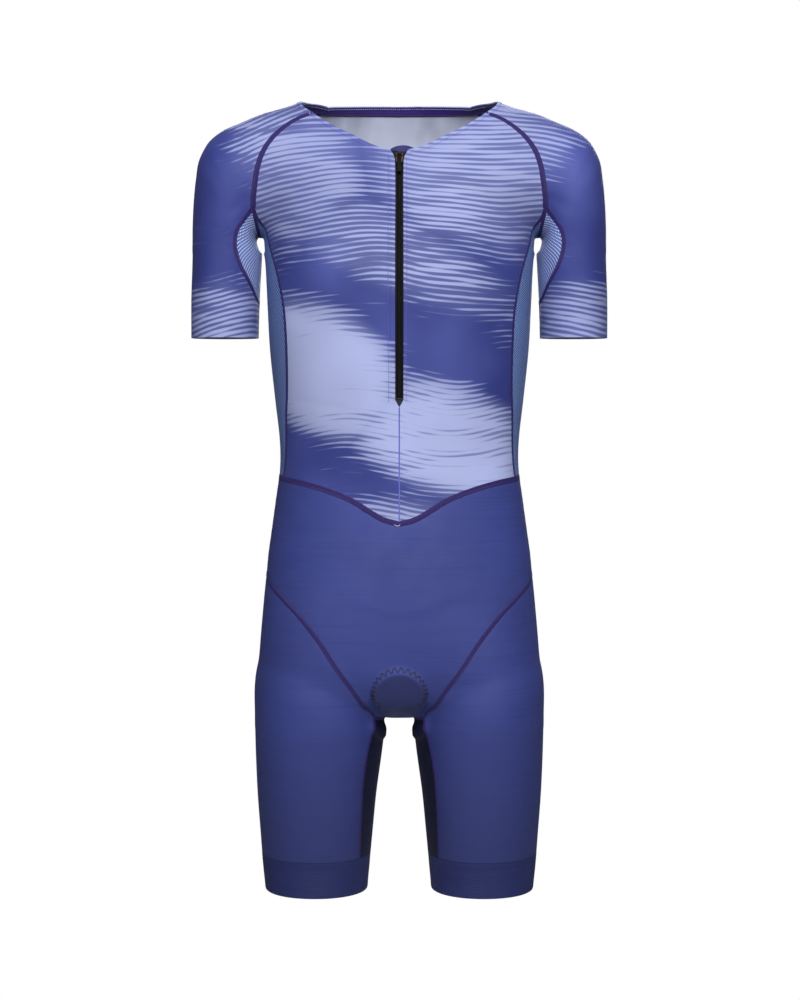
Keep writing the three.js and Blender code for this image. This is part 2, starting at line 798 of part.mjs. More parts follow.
// Seams that meet at a corner share its point
function shareEnds(...ends) {
  const [first, ...others] = ends.map(([run, last]) => [run, last ? run.length - 1 : 0]);
  for (const [run, k] of others) run[k] = first[0][first[1]];
}
shareEnds([neckFront, true], [neckSide, false], [raglanFront, false]);
shareEnds([neckSide, true], [neckBackHalf, false], [raglanBack, false]);
shareEnds([raglanFront, true], [armpit, false], [gussetFront, false], [sideFront, false]);
shareEnds([raglanBack, true], [armpit, true], [gussetBack, false], [sideBack, false]);
shareEnds([gussetFront, true], [gussetBack, true], [underarm, false]);
shareEnds([sideFront, true], [waistFront, true], [waistSide, false]);
shareEnds([sideBack, true], [waistSide, true], [waistBackHalf, false]);
shareEnds([hipSide, true], [hipFront, false], [hipBack, false]);
shareEnds([hipFront, true], [crotch, false], [innerLegFront, false]);
shareEnds([hipBack, true], [crotch, true], [innerLegBack, false]);

const waistMiddle = steps.waistSide / 2;
hipSide[0] = waistSide[waistMiddle];

// A level ring round an arm or a leg, from one point on it to another or all the way round
function levelRing(pivot, rows, z, fromPoint, toPoint, count, way) {
  const at = pivot.z - z;
  const [inner, outer] = tableAt(rows, ['inner', 'outer'], at);
  const middle = (inner + outer) / 2;
  const turnOf = (p) => Math.atan2(p.y, p.x - pivot.x - middle);
  let from = turnOf(fromPoint);
  let to = turnOf(toPoint);
  if (way === 'inside') to -= 2 * Math.PI;
  if (way === 'round') {
    from = -Math.PI;
    to = Math.PI;
  }
  const ring = [];
  for (let i = 0; i <= count; i += 1) {
    ring.push(castFromRing(at, from + (to - from) * i / count, middle, pivot));
  }
  ring[0] = fromPoint;
  ring[count] = toPoint;
  return ring;
}

// The zip's edge of a front, then the seam below it down to the point of the waist
const frontEdge = chain(
  seam(vectors(zipEdge), steps.zip),
  vectors([zipEdge.at(-1), bellySeam[0]]).map(settle),
  seam(vectors(bellySeam), steps.belly),
);
frontEdge[0] = neckFront[0];
frontEdge[frontEdge.length - 1] = waistFront[0];

const front = clothPanel(spacePanel(neckFront, waistFront, frontEdge, chain(raglanFront, sideFront)));
addPair('front', front.geometry, colours.upper);

const backLeft = chain(raglanBack, sideBack);
const back = clothPanel(spacePanel(
  across(reversed(neckBackHalf)),
  across(reversed(waistBackHalf)),
  mirrorX(backLeft),
  backLeft,
));
addPiece('back', back.geometry, colours.back);

const cuff = levelRing(armPivot, armRows, cuffZ, underarm.at(-1), underarm.at(-1), steps.neckSide, 'round');
const sleeve = clothPanel(limbPanel(
  neckSide,
  cuff,
  chain(raglanFront, gussetFront, underarm),
  chain(raglanBack, gussetBack, underarm),
  armPivot,
  armRows,
));
addPair('sleeve', sleeve.geometry, colours.sleeve);

const gussetSide = steps.gussetEnd;
const gusset = clothPanel(spacePanel(
  armpit,
  chain(gussetFront.slice(gussetSide), reversed(gussetBack.slice(gussetSide))),
  gussetFront.slice(0, gussetSide + 1),
  gussetBack.slice(0, gussetSide + 1),
));
addPair('underarm_gusset', gusset.geometry, colours.mesh);

const sidePanel = clothPanel(spacePanel(armpit, waistSide, sideFront, sideBack));
addPair('side_panel', sidePanel.geometry, colours.mesh);

const frontWaist = chain(waistFront, waistSide.slice(0, waistMiddle + 1));
const crotchMiddle = steps.crotch / 2;
const shortsFrontLeft = chain(hipSide, hipFront, crotch.slice(0, crotchMiddle + 1));
const crotchPoint = crotch[crotchMiddle];

// The short seam under the crotch, straight across between the legs
function crotchCross(count) {
  const run = [];
  for (let i = 0; i <= count; i += 1) {
    run.push(settle(new THREE.Vector3(crotchPoint.x * (2 * i / count - 1), 0, crotchZ)));
  }
  run[0] = mirrorX([crotchPoint])[0];
  run[count] = crotchPoint;
  return run;
}
const shortsFront = clothPanel(spacePanel(
  across(frontWaist),
  crotchCross(2 * (frontWaist.length - 1)),
  mirrorX(shortsFrontLeft),
  shortsFrontLeft,
));
addPiece('shorts_front', shortsFront.geometry, colours.shorts);

const backWaist = chain(reversed(waistBackHalf), reversed(waistSide.slice(waistMiddle)));
const shortsBackLeft = chain(hipSide, hipBack, reversed(crotch.slice(crotchMiddle)));
const shortsBack = clothPanel(spacePanel(
  across(backWaist),
  crotchCross(2 * (backWaist.length - 1)),
  mirrorX(shortsBackLeft),
  shortsBackLeft,
));
addPiece('shorts_back', shortsBack.geometry, colours.shorts);

const arch = steps.hipArch;
const legTop = chain(reversed(hipFront.slice(0, arch + 1)), hipBack.slice(0, arch + 1));
const legEnd = innerLegFront.at(-1);
const legEndBack = innerLegBack.at(-1);
const bandTopOuter = levelRing(legPivot, legRows, bandTopZ, legEnd, legEndBack, 2 * arch, 'outside');
const leg = clothPanel(limbPanel(
  legTop,
  bandTopOuter,
  chain(hipFront.slice(arch), innerLegFront),
  chain(hipBack.slice(arch), innerLegBack),
  legPivot,
  legRows,
));
addPair('leg', leg.geometry, colours.shorts);

const bandTopInner = levelRing(legPivot, legRows, bandTopZ, legEnd, legEndBack, steps.crotch, 'inside');
const innerLeg = clothPanel(spacePanel(crotch, bandTopInner, innerLegFront, innerLegBack));
addPair('inner_leg', innerLeg.geometry, colours.inner);

// The gripper band at the hem is one closed ring
const bandRing = chain(bandTopOuter, reversed(bandTopInner)).slice(0, -1);
const bandGrid = [];
for (let j = 0; j <= steps.bandHeight; j += 1) {
  const top = bandTopZ - seamGap;
  const z = top + (hemZ - top) * j / steps.bandHeight;
  bandGrid.push(bandRing.map((p) => settleLevel(new THREE.Vector3(p.x, p.y, z))));
}
const bandNormals = bandGrid.map((row) => row.map((p) => outward(p).setZ(0).normalize()));
addPair('leg_band', closedBody(bandGrid, shifted(bandGrid, bandNormals, -wall), true), colours.shorts);

// A point on the flat stretch of a front beside the zip, or carried on past its edge to the middle
function besideZip(row, x) {
  const near = front.outer[row][0];
  const next = front.outer[row][1];
  const share = (Math.abs(x) - near.x) / (next.x - near.x);
  const p = near.clone().lerp(next, share);
  p.x = x;
  return p;
}

function zipNormal(row, x) {
  const n = front.normals[row][0].clone();
  n.x = x > 0 ? n.x : -n.x;
  return n;
}

// Strips along the zip, each with its own edges across
function zipStrip(xs, fromRow, toRow, near, far, rise = 0) {
  const grid = [];
  const normals = [];
  for (let row = fromRow; row <= toRow; row += 1) {
    grid.push(xs.map((x) => besideZip(row, x)));
    normals.push(xs.map((x) => zipNormal(row, x)));
  }
  if (rise > 0) {
    const up = grid[0].map((p, i) => p.clone().sub(grid[1][i]).normalize());
    const middle = (xs[0] + xs[xs.length - 1]) / 2;
    const half = (xs[xs.length - 1] - xs[0]) / 2;
    grid[0] = grid[0].map((p, i) => {
      const arch = 1 - ((xs[i] - middle) / half) ** 2;
      return p.clone().addScaledVector(up[i], rise * arch);
    });
  }
  return liner(grid, normals, near, far);
}

const tapeNear = wall + seamGap;
const tapeFar = tapeNear + zip.tapeThick;
const tapeLeft = zipStrip([seamGap / 2, zip.edge, zip.tapeWide], 0, steps.zip, tapeNear, tapeFar);
addPiece('zip_tape_left', tapeLeft, colours.zip);
addPiece('zip_tape_right', mirroredGeometry(tapeLeft), colours.zip);

const coilFirst = 1;
const coil = zipStrip(
  [-zip.coilHalf, -zip.coilHalf / 2, zip.coilHalf / 2, zip.coilHalf],
  coilFirst,
  steps.zip,
  zip.coilBack - zip.coilThick,
  zip.coilBack,
);
addPiece('zip_coil', coil, colours.zip, finishes.coil);

const guardNear = tapeFar + seamGap;
const guardFar = guardNear + zip.guardThick;
const guardXs = [];
for (let i = 0; i <= steps.guard; i += 1) {
  guardXs.push(zip.guardRight + (zip.guardLeft - zip.guardRight) * i / steps.guard);
}
const guard = zipStrip(
  guardXs,
  0,
  steps.zip,
  guardNear,
  guardFar,
  zip.guardRise,
);
addPiece('zip_guard', guard, colours.tape);

// The band inside the back of the neck lies on the back and on the sleeves' tops
function neckTapeBody() {
  const upper = [];
  const lower = [];
  const normals = [];
  const take = (grid, gridNormals, column, side) => {
    const top = grid[0][column].clone();
    const next = grid[1][column];
    const down = top.clone().lerp(next, neckTape.wide / top.distanceTo(next));
    const n = gridNormals[0][column].clone();
    for (const p of [top, down, n]) p.x *= side;
    upper.push(top);
    lower.push(down);
    normals.push(n);
  };
  const crest = steps.neckSide / 2;
  for (let i = crest; i < steps.neckSide; i += 1) take(sleeve.outer, sleeve.normals, i, -1);
  for (let i = 0; i <= steps.neckBack; i += 1) take(back.outer, back.normals, i, 1);
  for (let i = steps.neckSide - 1; i >= crest; i -= 1) take(sleeve.outer, sleeve.normals, i, 1);
  return liner([upper, lower], [normals, normals], tapeNear, tapeNear + neckTape.thick);
}
addPiece('neck_tape', neckTapeBody(), colours.tape);

// The seat pad, from its round front under the crotch to its wide back
function padBody() {
  const grid = [];
  for (let j = 0; j <= pad.rows; j += 1) {
    const [half, y, z] = tableAt(padRows, ['half', 'y', 'z'], j / pad.rows);
    const line = [];
    for (let i = 0; i <= pad.across; i += 1) {
      line.push(settle(new THREE.Vector3(half * (2 * i / pad.across - 1), y, z)));
    }
    grid.push(line);
  }
  const normals = grid.map((row) => row.map(outward));
  const near = wall + pad.gap;
  return liner(grid, normals, near, near + pad.thick);
}
addPiece('seat_pad', padBody(), colours.pad);

// The slider and its pull are made flat, x across, y down the zip and z out of the cloth
const wasm = await Module();
wasm.setup();

function solidOf(geometry) {
  geometry.deleteAttribute('normal');
  geometry.deleteAttribute('uv');
  const merged = mergeVertices(geometry, weldDistance);
  return new wasm.Manifold(new wasm.Mesh({
    numProp: 3,
    vertProperties: merged.attributes.position.array,
    triVerts: new Uint32Array(merged.index.array),
  }));
}

function geometryOf(solid) {
  const mesh = solid.getMesh();
  const geometry = new THREE.BufferGeometry();
  geometry.setAttribute('position', new THREE.Float32BufferAttribute(mesh.vertProperties, 3));
  geometry.setIndex([...mesh.triVerts]);
  return geometry;
}

function sliderBody() {
  const outline = new THREE.Shape();
  const half = slider.wide / 2;
  const neck = slider.neckWide / 2;
  const shoulder = slider.long * slider.shoulder;
  outline.moveTo(-half, shoulder);
  outline.quadraticCurveTo(-half, 0, 0, 0);
  outline.quadraticCurveTo(half, 0, half, shoulder);
  outline.lineTo(neck, slider.long);
  outline.lineTo(-neck, slider.long);
  outline.closePath();
  const plate = new THREE.ExtrudeGeometry(outline, {
    depth: slider.deep,
    bevelEnabled: false,
    curveSegments: roundSegments / 2,
  });
  let solid = solidOf(plate);
  const lugX = pull.wide / 2 + seamGap + slider.lugWide / 2;
  for (const side of [-1, 1]) {
    const lugHigh = slider.lugHigh + slider.lugSink;
    const lug = new THREE.BoxGeometry(slider.lugWide, slider.lugLong, lugHigh);
    lug.translate(side * lugX, slider.pinAlong, slider.deep - slider.lugSink + lugHigh / 2);
    solid = solid.add(solidOf(lug));
  }
  const pin = new THREE.CylinderGeometry(slider.pinRadius, slider.pinRadius, 2 * lugX, roundSegments);
  pin.rotateZ(Math.PI / 2);
  pin.translate(0, slider.pinAlong, slider.deep + slider.pinHigh);
  return geometryOf(solid.add(solidOf(pin)));
}

// The pull's side outline, with its knuckle round the pin at 0, 0, pushed out across its width
function pullBody() {
  const outline = new THREE.Shape();
  const half = pull.thick / 2;
  const meet = Math.asin(half / pull.knuckle);
  outline.absarc(0, 0, pull.knuckle, meet, 2 * Math.PI - meet, false);
  outline.lineTo(pull.long - half, -half);
  outline.absarc(pull.long - half, 0, half, -Math.PI / 2, Math.PI / 2, false);
  outline.closePath();
  const bore = new THREE.Path();
  bore.absarc(0, 0, pull.bore, 0, 2 * Math.PI, true);
  outline.holes.push(bore);
  const geometry = new THREE.ExtrudeGeometry(outline, {
    depth: pull.wide,
    bevelEnabled: false,
    curveSegments: roundSegments,
  });
  geometry.translate(0, 0, -pull.wide / 2);
  geometry.applyMatrix4(new THREE.Matrix4().makeBasis(
    new THREE.Vector3(0, 1, 0),
    new THREE.Vector3(0, 0, 1),
    new THREE.Vector3(1, 0, 0),
  ));
  return geometry;
}

// Both lie on the zip's line just under the neck
const zipTop = besideZip(0, 0);
const zipDown = besideZip(1, 0).sub(zipTop).setX(0).normalize();
const zipAcross = new THREE.Vector3(-1, 0, 0);
const zipOut = zipAcross.clone().cross(zipDown);
const onZip = new THREE.Group();
onZip.matrix.makeBasis(zipAcross, zipDown, zipOut);
onZip.matrix.setPosition(
  zipTop.clone().addScaledVector(zipDown, slider.fromTop).addScaledVector(zipOut, -wall),
);
onZip.matrix.decompose(onZip.position, onZip.quaternion, onZip.scale);
const sliderMesh = addPiece('zip_slider', sliderBody(), colours.metal, finishes.metal);
const pullMesh = addPiece('zip_pull', pullBody(), colours.zip, finishes.tab);
pullMesh.position.set(0, slider.pinAlong, slider.deep + slider.pinHigh);
onZip.add(sliderMesh, pullMesh);
suit.add(onZip);

export default suit;
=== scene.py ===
import math

import bpy
import numpy as np
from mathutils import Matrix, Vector, kdtree


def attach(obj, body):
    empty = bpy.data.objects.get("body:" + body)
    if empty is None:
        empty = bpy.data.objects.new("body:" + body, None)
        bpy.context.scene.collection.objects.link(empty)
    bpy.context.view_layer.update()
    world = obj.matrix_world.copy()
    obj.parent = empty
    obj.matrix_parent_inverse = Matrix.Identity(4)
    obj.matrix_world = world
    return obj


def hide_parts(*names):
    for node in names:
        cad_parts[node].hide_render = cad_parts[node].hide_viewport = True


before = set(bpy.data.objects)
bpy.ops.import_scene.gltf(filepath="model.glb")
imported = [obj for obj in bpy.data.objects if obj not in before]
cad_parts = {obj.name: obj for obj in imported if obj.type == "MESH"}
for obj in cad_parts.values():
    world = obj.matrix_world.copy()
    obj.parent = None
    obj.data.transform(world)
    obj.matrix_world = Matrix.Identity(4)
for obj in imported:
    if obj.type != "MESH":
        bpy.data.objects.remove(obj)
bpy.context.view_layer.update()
mm = 0.001
bpy.ops.object.select_all(action="DESELECT")
print("frame loaded:", len(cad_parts), "nodes")


# Camera: straight on, a little above the middle of the suit. It comes first

view = {"from": (0, -2300, -295.8), "at": (0, 0, -415.4), "scale": 1.0875, "middleX": 399.3,
        "imageWide": 800, "imageHigh": 1000}


def addCamera():
    data = bpy.data.cameras.new("camera")
    camera = bpy.data.objects.new("camera", data)
    bpy.context.scene.collection.objects.link(camera)
    camera.location = Vector(view["from"]) * mm
    look = Vector(view["at"]) - Vector(view["from"])
    camera.rotation_euler = look.to_track_quat("-Z", "Y").to_euler()
    data.sensor_fit = "VERTICAL"
    data.angle = 2 * math.atan(view["scale"] * view["imageHigh"] / 2 / look.length)
    data.shift_x = (view["imageWide"] / 2 - view["middleX"]) / view["imageHigh"]
    data.clip_end = 50
    bpy.context.scene.camera = camera


addCamera()


# The form of the suit in millimetres: rings of the torso, of an arm and of a leg

cloth = {
    "hem": -840, "bandTop": -800, "cuff": -240, "thick": 0.9,
    "fineness": 6, "tension": 0.95, "rounds": 10, "evening": 0.6,
}
# Half widths and depths at each level: at, side, front, back
torso = {
    "rows": [
        (60, 60, 46, 54), (40, 68, 50, 60), (20, 84, 55, 66), (0, 106, 64, 74),
        (-25, 128, 76, 82), (-50, 141, 86, 89), (-80, 147, 96, 95), (-110, 147.5, 104, 99),
        (-143, 145.2, 110, 99), (-198, 142.6, 112, 95), (-252, 139.9, 104, 87),
        (-307, 134.3, 96, 80), (-350, 129.6, 92, 77), (-380, 129.4, 91, 78),
        (-415, 134, 93, 83), (-448, 138.6, 96, 91), (-481, 143, 99, 99),
        (-524, 145, 101, 106), (-568, 139, 99, 109), (-600, 124, 94.5, 106),
        (-625, 98, 82, 95), (-645, 62, 62, 74), (-665, 45, 45, 55),
    ],
    "round": 2.25, "crotch": -642, "crotchBlend": 24,
}
# Rings fanned about a pivot: at (degrees above it, negative, or millimetres below it),
# inner, outer, front, back
arm = {
    "rows": [
        (-140, 20, 195.9, 60, 70), (-118, 20, 170.9, 60, 70), (-104, 20, 155.5, 60, 69),
        (-92, 18, 149, 58, 66), (-81, 17, 140.5, 57, 64), (-73, 16, 137, 56.5, 62),
        (-65, 14, 131.5, 56, 60), (-60, 10.5, 125.2, 55.5, 58), (-55, 8, 118, 55, 57),
        (-48, 5.6, 105.5, 54, 55), (-38, 3, 92.5, 52.5, 53), (-26, 1, 82.5, 51, 51),
        (-12, -0.1, 76.3, 50, 50), (0, -0.1, 74.8, 49.5, 49.5), (12, 0.5, 74.9, 49, 49),
        (50, 2.7, 76.3, 48, 48), (95, 4.1, 76.5, 47, 47), (130, 4.1, 76.5, 46.5, 46.5),
    ],
    "round": 2.15, "pivot": (148.4, -148), "fadeBelow": -262, "fade": 0.6,
    "low": 7, "high": 50, "from": 8, "to": 80,
}
leg = {
    "rows": [
        (-90, 20, 250, 72, 76), (-70, 20, 220, 76, 82), (-58, 19, 204, 80, 88),
        (-53, 18, 193, 83, 91), (-45, 16, 181.5, 85.5, 94.5), (-34, 14, 169.5, 87.5, 97.5),
        (-21, 11.5, 161, 89, 99.5), (-8, 10, 153.2, 88.7, 98.5), (0, 10, 151.5, 87.8, 96.8),
        (8, 10.5, 151.2, 86.7, 95.2), (32, 13.4, 150.6, 82.5, 89.8), (73, 19, 148.9, 75.5, 81),
        (117, 23.3, 145.8, 68, 72), (150, 26.4, 143.4, 63, 65), (173, 28.5, 141.1, 60.5, 62),
        (200, 30, 138.6, 58, 60),
    ],
    "round": 2.1, "pivot": (6, -662), "low": 6, "high": 32, "from": 0, "to": 100, "parting": 25,
}
padDome = {"top": -617, "bottom": -650, "radius": 34, "soft": 11, "lift": 5, "behind": -30}


def tableAt(rows, at):
    listed = np.array(sorted(rows), float)
    keys, values = listed[:, 0], listed[:, 1:]
    slopes = np.zeros_like(values)
    slopes[1:-1] = (values[2:] - values[:-2]) / (keys[2:] - keys[:-2])[:, None]
    slopes[0] = (values[1] - values[0]) / (keys[1] - keys[0])
    slopes[-1] = (values[-1] - values[-2]) / (keys[-1] - keys[-2])
    place = np.clip(at, keys[0], keys[-1])
    i = np.clip(np.searchsorted(keys, place, side="right") - 1, 0, len(keys) - 2)
    span = (keys[i + 1] - keys[i])[..., None]
    t = (place - keys[i])[..., None] / span
    ends = values[i] * (2 * t**3 - 3 * t**2 + 1) + values[i + 1] * (3 * t**2 - 2 * t**3)
    lean = slopes[i] * (t**3 - 2 * t**2 + t) + slopes[i + 1] * (t**3 - t**2)
    return np.moveaxis(ends + span * lean, -1, 0)


def smooth(low, high, at):
    t = np.clip((at - low) / (high - low), 0, 1)
    return t * t * (3 - 2 * t)


def smoothMin(a, b, blend):
    near = np.maximum(blend - np.abs(a - b), 0) / blend
    return np.minimum(a, b) - near * near * blend / 4


def oval(u, w, halfU, halfW, power):
    g = ((np.abs(u) / halfU) ** power + (np.abs(w) / halfW) ** power) ** (1 / power)
    return (np.hypot(u, w) + 1e-9) * (1 - 1 / (g + 1e-9))


def fanOf(x, z, pivot):
    dx, dz = x - pivot[0], z - pivot[1]
    above = dz > 0
    at = np.where(above, -np.degrees(np.arctan2(np.maximum(dz, 0), dx)), -dz)
    return at, np.where(above, np.hypot(dx, dz), dx)


def limbField(x, y, z, limb):
    at, out = fanOf(x, z, limb["pivot"])
    inner, outer, front, back = tableAt(limb["rows"], at)
    depth = np.where(y < 0, front, back)
    return oval(out - (inner + outer) / 2, y, (outer - inner) / 2, depth, limb["round"])


def softness(limb, above):
    return limb["low"] + (limb["high"] - limb["low"]) * smooth(limb["from"], limb["to"], above)


def field(p):  # zero on the cloth's outer face, negative inside
    x, y, z = p[..., 0], p[..., 1], p[..., 2]
    side, front, back = tableAt(torso["rows"], z)
    ring = oval(np.abs(x), y, side, np.where(y < 0, front, back), torso["round"])
    f = -smoothMin(-ring, z - torso["crotch"], torso["crotchBlend"])
    armField = limbField(np.abs(x), y, z, arm) + arm["fade"] * np.maximum(0, arm["fadeBelow"] - z)
    f = smoothMin(f, armField, softness(arm, z - arm["pivot"][1]))
    above = z - leg["pivot"][1]
    parted = smooth(-leg["parting"], 0, above)
    for side in (1, -1):
        across = np.maximum(0, leg["pivot"][0] - side * x) * parted
        f = smoothMin(f, limbField(side * x, y, z, leg) + across, softness(leg, above))
    fromDome = np.hypot(x, z - np.clip(z, padDome["bottom"], padDome["top"]))
    dome = 1 - smooth(padDome["radius"] - padDome["soft"], padDome["radius"], fromDome)
    return f - padDome["lift"] * dome * (1 - smooth(padDome["behind"], 0, y))


def armForm(p):  # the arm alone, for the gusset, which the blend at the armpit would draw in
    return limbField(np.abs(p[..., 0]), p[..., 1], p[..., 2], arm)


def slopeOf(p, form=field, probe=0.2):
    g = np.zeros_like(p)
    for axis in range(3):
        step = np.zeros(3)
        step[axis] = probe
        g[..., axis] = (form(p + step) - form(p - step)) / (2 * probe)
    return g


def settle(points, level=False, moves=9, form=field):
    p = np.array(points, float)
    for _ in range(moves):
        g = slopeOf(p, form)
        if level:
            g[..., 2] = 0
        p -= (form(p) / np.maximum((g * g).sum(-1), 0.05))[..., None] * g
    return p


def unit(v):
    return v / (np.linalg.norm(v, axis=-1, keepdims=True) + 1e-12)


def outward(p, form=field):
    return unit(slopeOf(p, form))


# Seams on the wearer's left, as points x, y, z that are settled on the cloth

seamPoints = {
    "neckFront": [(9.5, -86, -46.5), (21, -85, -44), (35, -82, -38), (50, -77, -30),
                  (66, -71, -22), (83, -61, -11), (92, -53, -4)],
    "neckSide": [(92, -53, -4), (101, -40, 3), (105.8, -12, 12.4), (100, 20, 18), (82, 50, 20)],
    "neckBack": [(82, 50, 20), (60, 60, 19), (32, 66, 18), (0, 68, 17.5)],
    "raglanFront": [(92, -53, -4), (109, -52, -11), (125.5, -55, -23), (136, -58, -34),
                    (143, -60, -45), (148.3, -61, -60), (151.6, -61, -77), (154, -55.5, -94),
                    (154.5, -50, -104)],
    "raglanBack": [(82, 50, 20), (104, 56, 4), (121, 62, -14), (134, 66, -33), (143, 68, -52),
                   (149, 66, -71), (153, 58, -90), (154.5, 50, -104)],
    "armpit": [(154.5, -50, -104), (152.5, -38, -117), (150.5, -20, -128), (150, 0, -132),
               (150.5, 20, -128), (152.5, 38, -117), (154.5, 50, -104)],
    "gusset": [(154.5, -50, -104), (162.3, -46, -114), (170.5, -49, -125), (173.8, -48.6, -137),
               (172.9, -47, -150), (167.9, -43.5, -165), (160, -35, -180), (153.5, -18, -197),
               (151.3, 0, -203)],
    "underarm": [(151.3, 0, -203), (152.4, 0, cloth["cuff"])],
    "side": [(154.5, -50, -104), (150.5, -42, -114.5), (145, -36, -129), (138, -43, -145),
             (130, -55, -168), (124.5, -62, -193), (121.3, -64, -216), (119.5, -61, -252),
             (119, -53, -294), (120.6, -44, -328), (124.6, -33, -391)],
    "waistFront": [(0, -95, -435.6), (16, -94, -431.5), (33, -92, -422), (49.5, -88, -412),
                   (75, -80, -402), (101, -64, -395), (124.6, -33, -391)],
    "waistSide": [(124.6, -33, -391), (129.6, 0, -389.5), (124.6, 30, -390)],
    "waistBack": [(124.6, 30, -390), (100, 56, -391), (60, 75, -394), (0, 80, -397)],
    "hipSide": [(129.6, 0, -389.5), (138, 0, -430), (146, 0, -493)],
    "hipFront": [(146, 0, -493), (142.4, -28, -501), (126.6, -61.5, -516), (105.5, -82, -535.5),
                 (84, -93, -561.5), (67.3, -94, -587), (50.8, -86, -610), (34.3, -67, -634),
                 (25.5, -56, -645)],
    "hipBack": [(146, 0, -493), (141, 32, -502), (124, 68, -520), (102, 90, -545),
                (80, 100, -573), (60, 98, -600), (42, 84, -625), (26.5, 62, -646)],
    "crotch": [(25.5, -56, -645), (19.5, -28, -647), (18.5, 0, -647), (19.5, 30, -647),
               (26.5, 62, -646)],
    "innerLegFront": [(25.5, -56, -645), (29.2, -53, -661), (34.5, -55, -681), (38.8, -53.5, -708),
                      (41.1, -49, -737), (42.2, -45, -766), (43.2, -40, cloth["bandTop"])],
    "innerLegBack": [(26.5, 62, -646), (30, 58, -661), (34.5, 58, -681), (38.8, 56, -708),
                     (41.1, 52, -737), (42.2, 47, -766), (43.2, 42, cloth["bandTop"])],
}
# How many stretches each seam has before they are divided finely
seamSteps = {
    "neckFront": 8, "neckSide": 18, "neckBack": 6, "raglanFront": 10, "raglanBack": 10,
    "armpit": 6, "gusset": 8, "underarm": 3, "side": 14, "waistFront": 8, "waistSide": 6,
    "waistBack": 6, "hipSide": 4, "hipFront": 14, "hipBack": 14, "crotch": 6,
    "innerLegFront": 9, "innerLegBack": 9,
}
zipper = {
    "edge": 4.6, "topEdge": 9.5, "funnelEdge": 5.4, "top": -46.5, "funnel": -55,
    "straight": -69, "end": -306, "foot": -314, "steps": 16, "belly": 7,
    "tapeWide": 13, "tapeThick": 1, "guardLeft": 20, "guardRight": -12, "guardThick": 1.2,
    "guardRise": 6, "wall": 2, "gap": 0.3,
}


def curveThrough(points, count):
    p = np.array(points, float)
    p = np.vstack([2 * p[:1] - p[1:2], p, 2 * p[-1:] - p[-2:-1]])
    t = np.linspace(0, 1, 40, endpoint=False)[:, None]
    run = []
    for k in range(len(p) - 3):
        a, b, c, d = p[k:k + 4]
        before, here, after = (max(np.linalg.norm(v) ** 0.5, 1e-4) for v in (b - a, c - b, d - c))
        start = here * ((b - a) / before - (c - a) / (before + here) + (c - b) / here)
        end = here * ((c - b) / here - (d - b) / (here + after) + (d - c) / after)
        run.append(b + start * t + (3 * c - 3 * b - 2 * start - end) * t**2
                   + (2 * b - 2 * c + start + end) * t**3)
    return evenly(np.vstack(run + [p[-2:-1]]), count)


def lengthsAlong(run):
    steps = np.linalg.norm(np.diff(run, axis=0), axis=1)
    return np.concatenate([[0], np.cumsum(steps)])


def evenly(run, count):
    lengths = lengthsAlong(run)
    want = np.linspace(0, lengths[-1], count + 1)
    return np.stack([np.interp(want, lengths, run[:, k]) for k in range(3)], 1)


def seam(name, level=False):
    count = seamSteps[name] * cloth["fineness"]
    return settle(curveThrough(settle(seamPoints[name], level), count), level)


def chain(*runs):
    return np.vstack([runs[0]] + [run[1:] for run in runs[1:]])


def mirrorX(points):
    return points * np.array([-1, 1, 1])


def mirrorY(points):
    return points * np.array([1, -1, 1])


def acrossBoth(half):  # a whole seam from its left half, which starts at the middle
    return chain(mirrorX(half)[::-1], half)


# Panels: four edges filled with a grid of points on the cloth

def blendEdges(top, bottom, left, right):
    v = np.linspace(0, 1, len(left))[:, None, None]
    u = np.linspace(0, 1, len(top))[None, :, None]
    ruled = (1 - v) * top[None] + v * bottom[None] + (1 - u) * left[:, None] + u * right[:, None]
    corners = (1 - v) * ((1 - u) * top[0] + u * top[-1]) + v * ((1 - u) * bottom[0] + u * bottom[-1])
    return ruled - corners


def keepEdges(grid, top, bottom, left, right):
    grid[0], grid[-1] = top, bottom
    grid[:, 0], grid[:, -1] = left, right
    return grid


def relax(grid, form=field):  # evens a panel's points out, its edges held
    share = cloth["evening"]
    for _ in range(cloth["rounds"] * cloth["fineness"]):
        around = (grid[:-2, 1:-1] + grid[2:, 1:-1] + grid[1:-1, :-2] + grid[1:-1, 2:]) / 4
        moved = (1 - share) * grid[1:-1, 1:-1] + share * around
        grid[1:-1, 1:-1] = settle(moved, moves=1, form=form)
    grid[1:-1, 1:-1] = settle(grid[1:-1, 1:-1], form=form)
    return grid


def spacePanel(top, bottom, left, right, form=field):
    grid = settle(blendEdges(top, bottom, left, right), form=form)
    return relax(keepEdges(grid, top, bottom, left, right), form)


def middleOf(limb, at):
    rows = tableAt(limb["rows"], at)
    return (rows[0] + rows[1]) / 2


# How a point is cast from a ring's middle to the cloth, and how near half a turn is on the seam
cast = {"start": 10.0, "step": 4, "reach": 300, "halvings": 14, "onSeam": 0.02, "rings": 61}


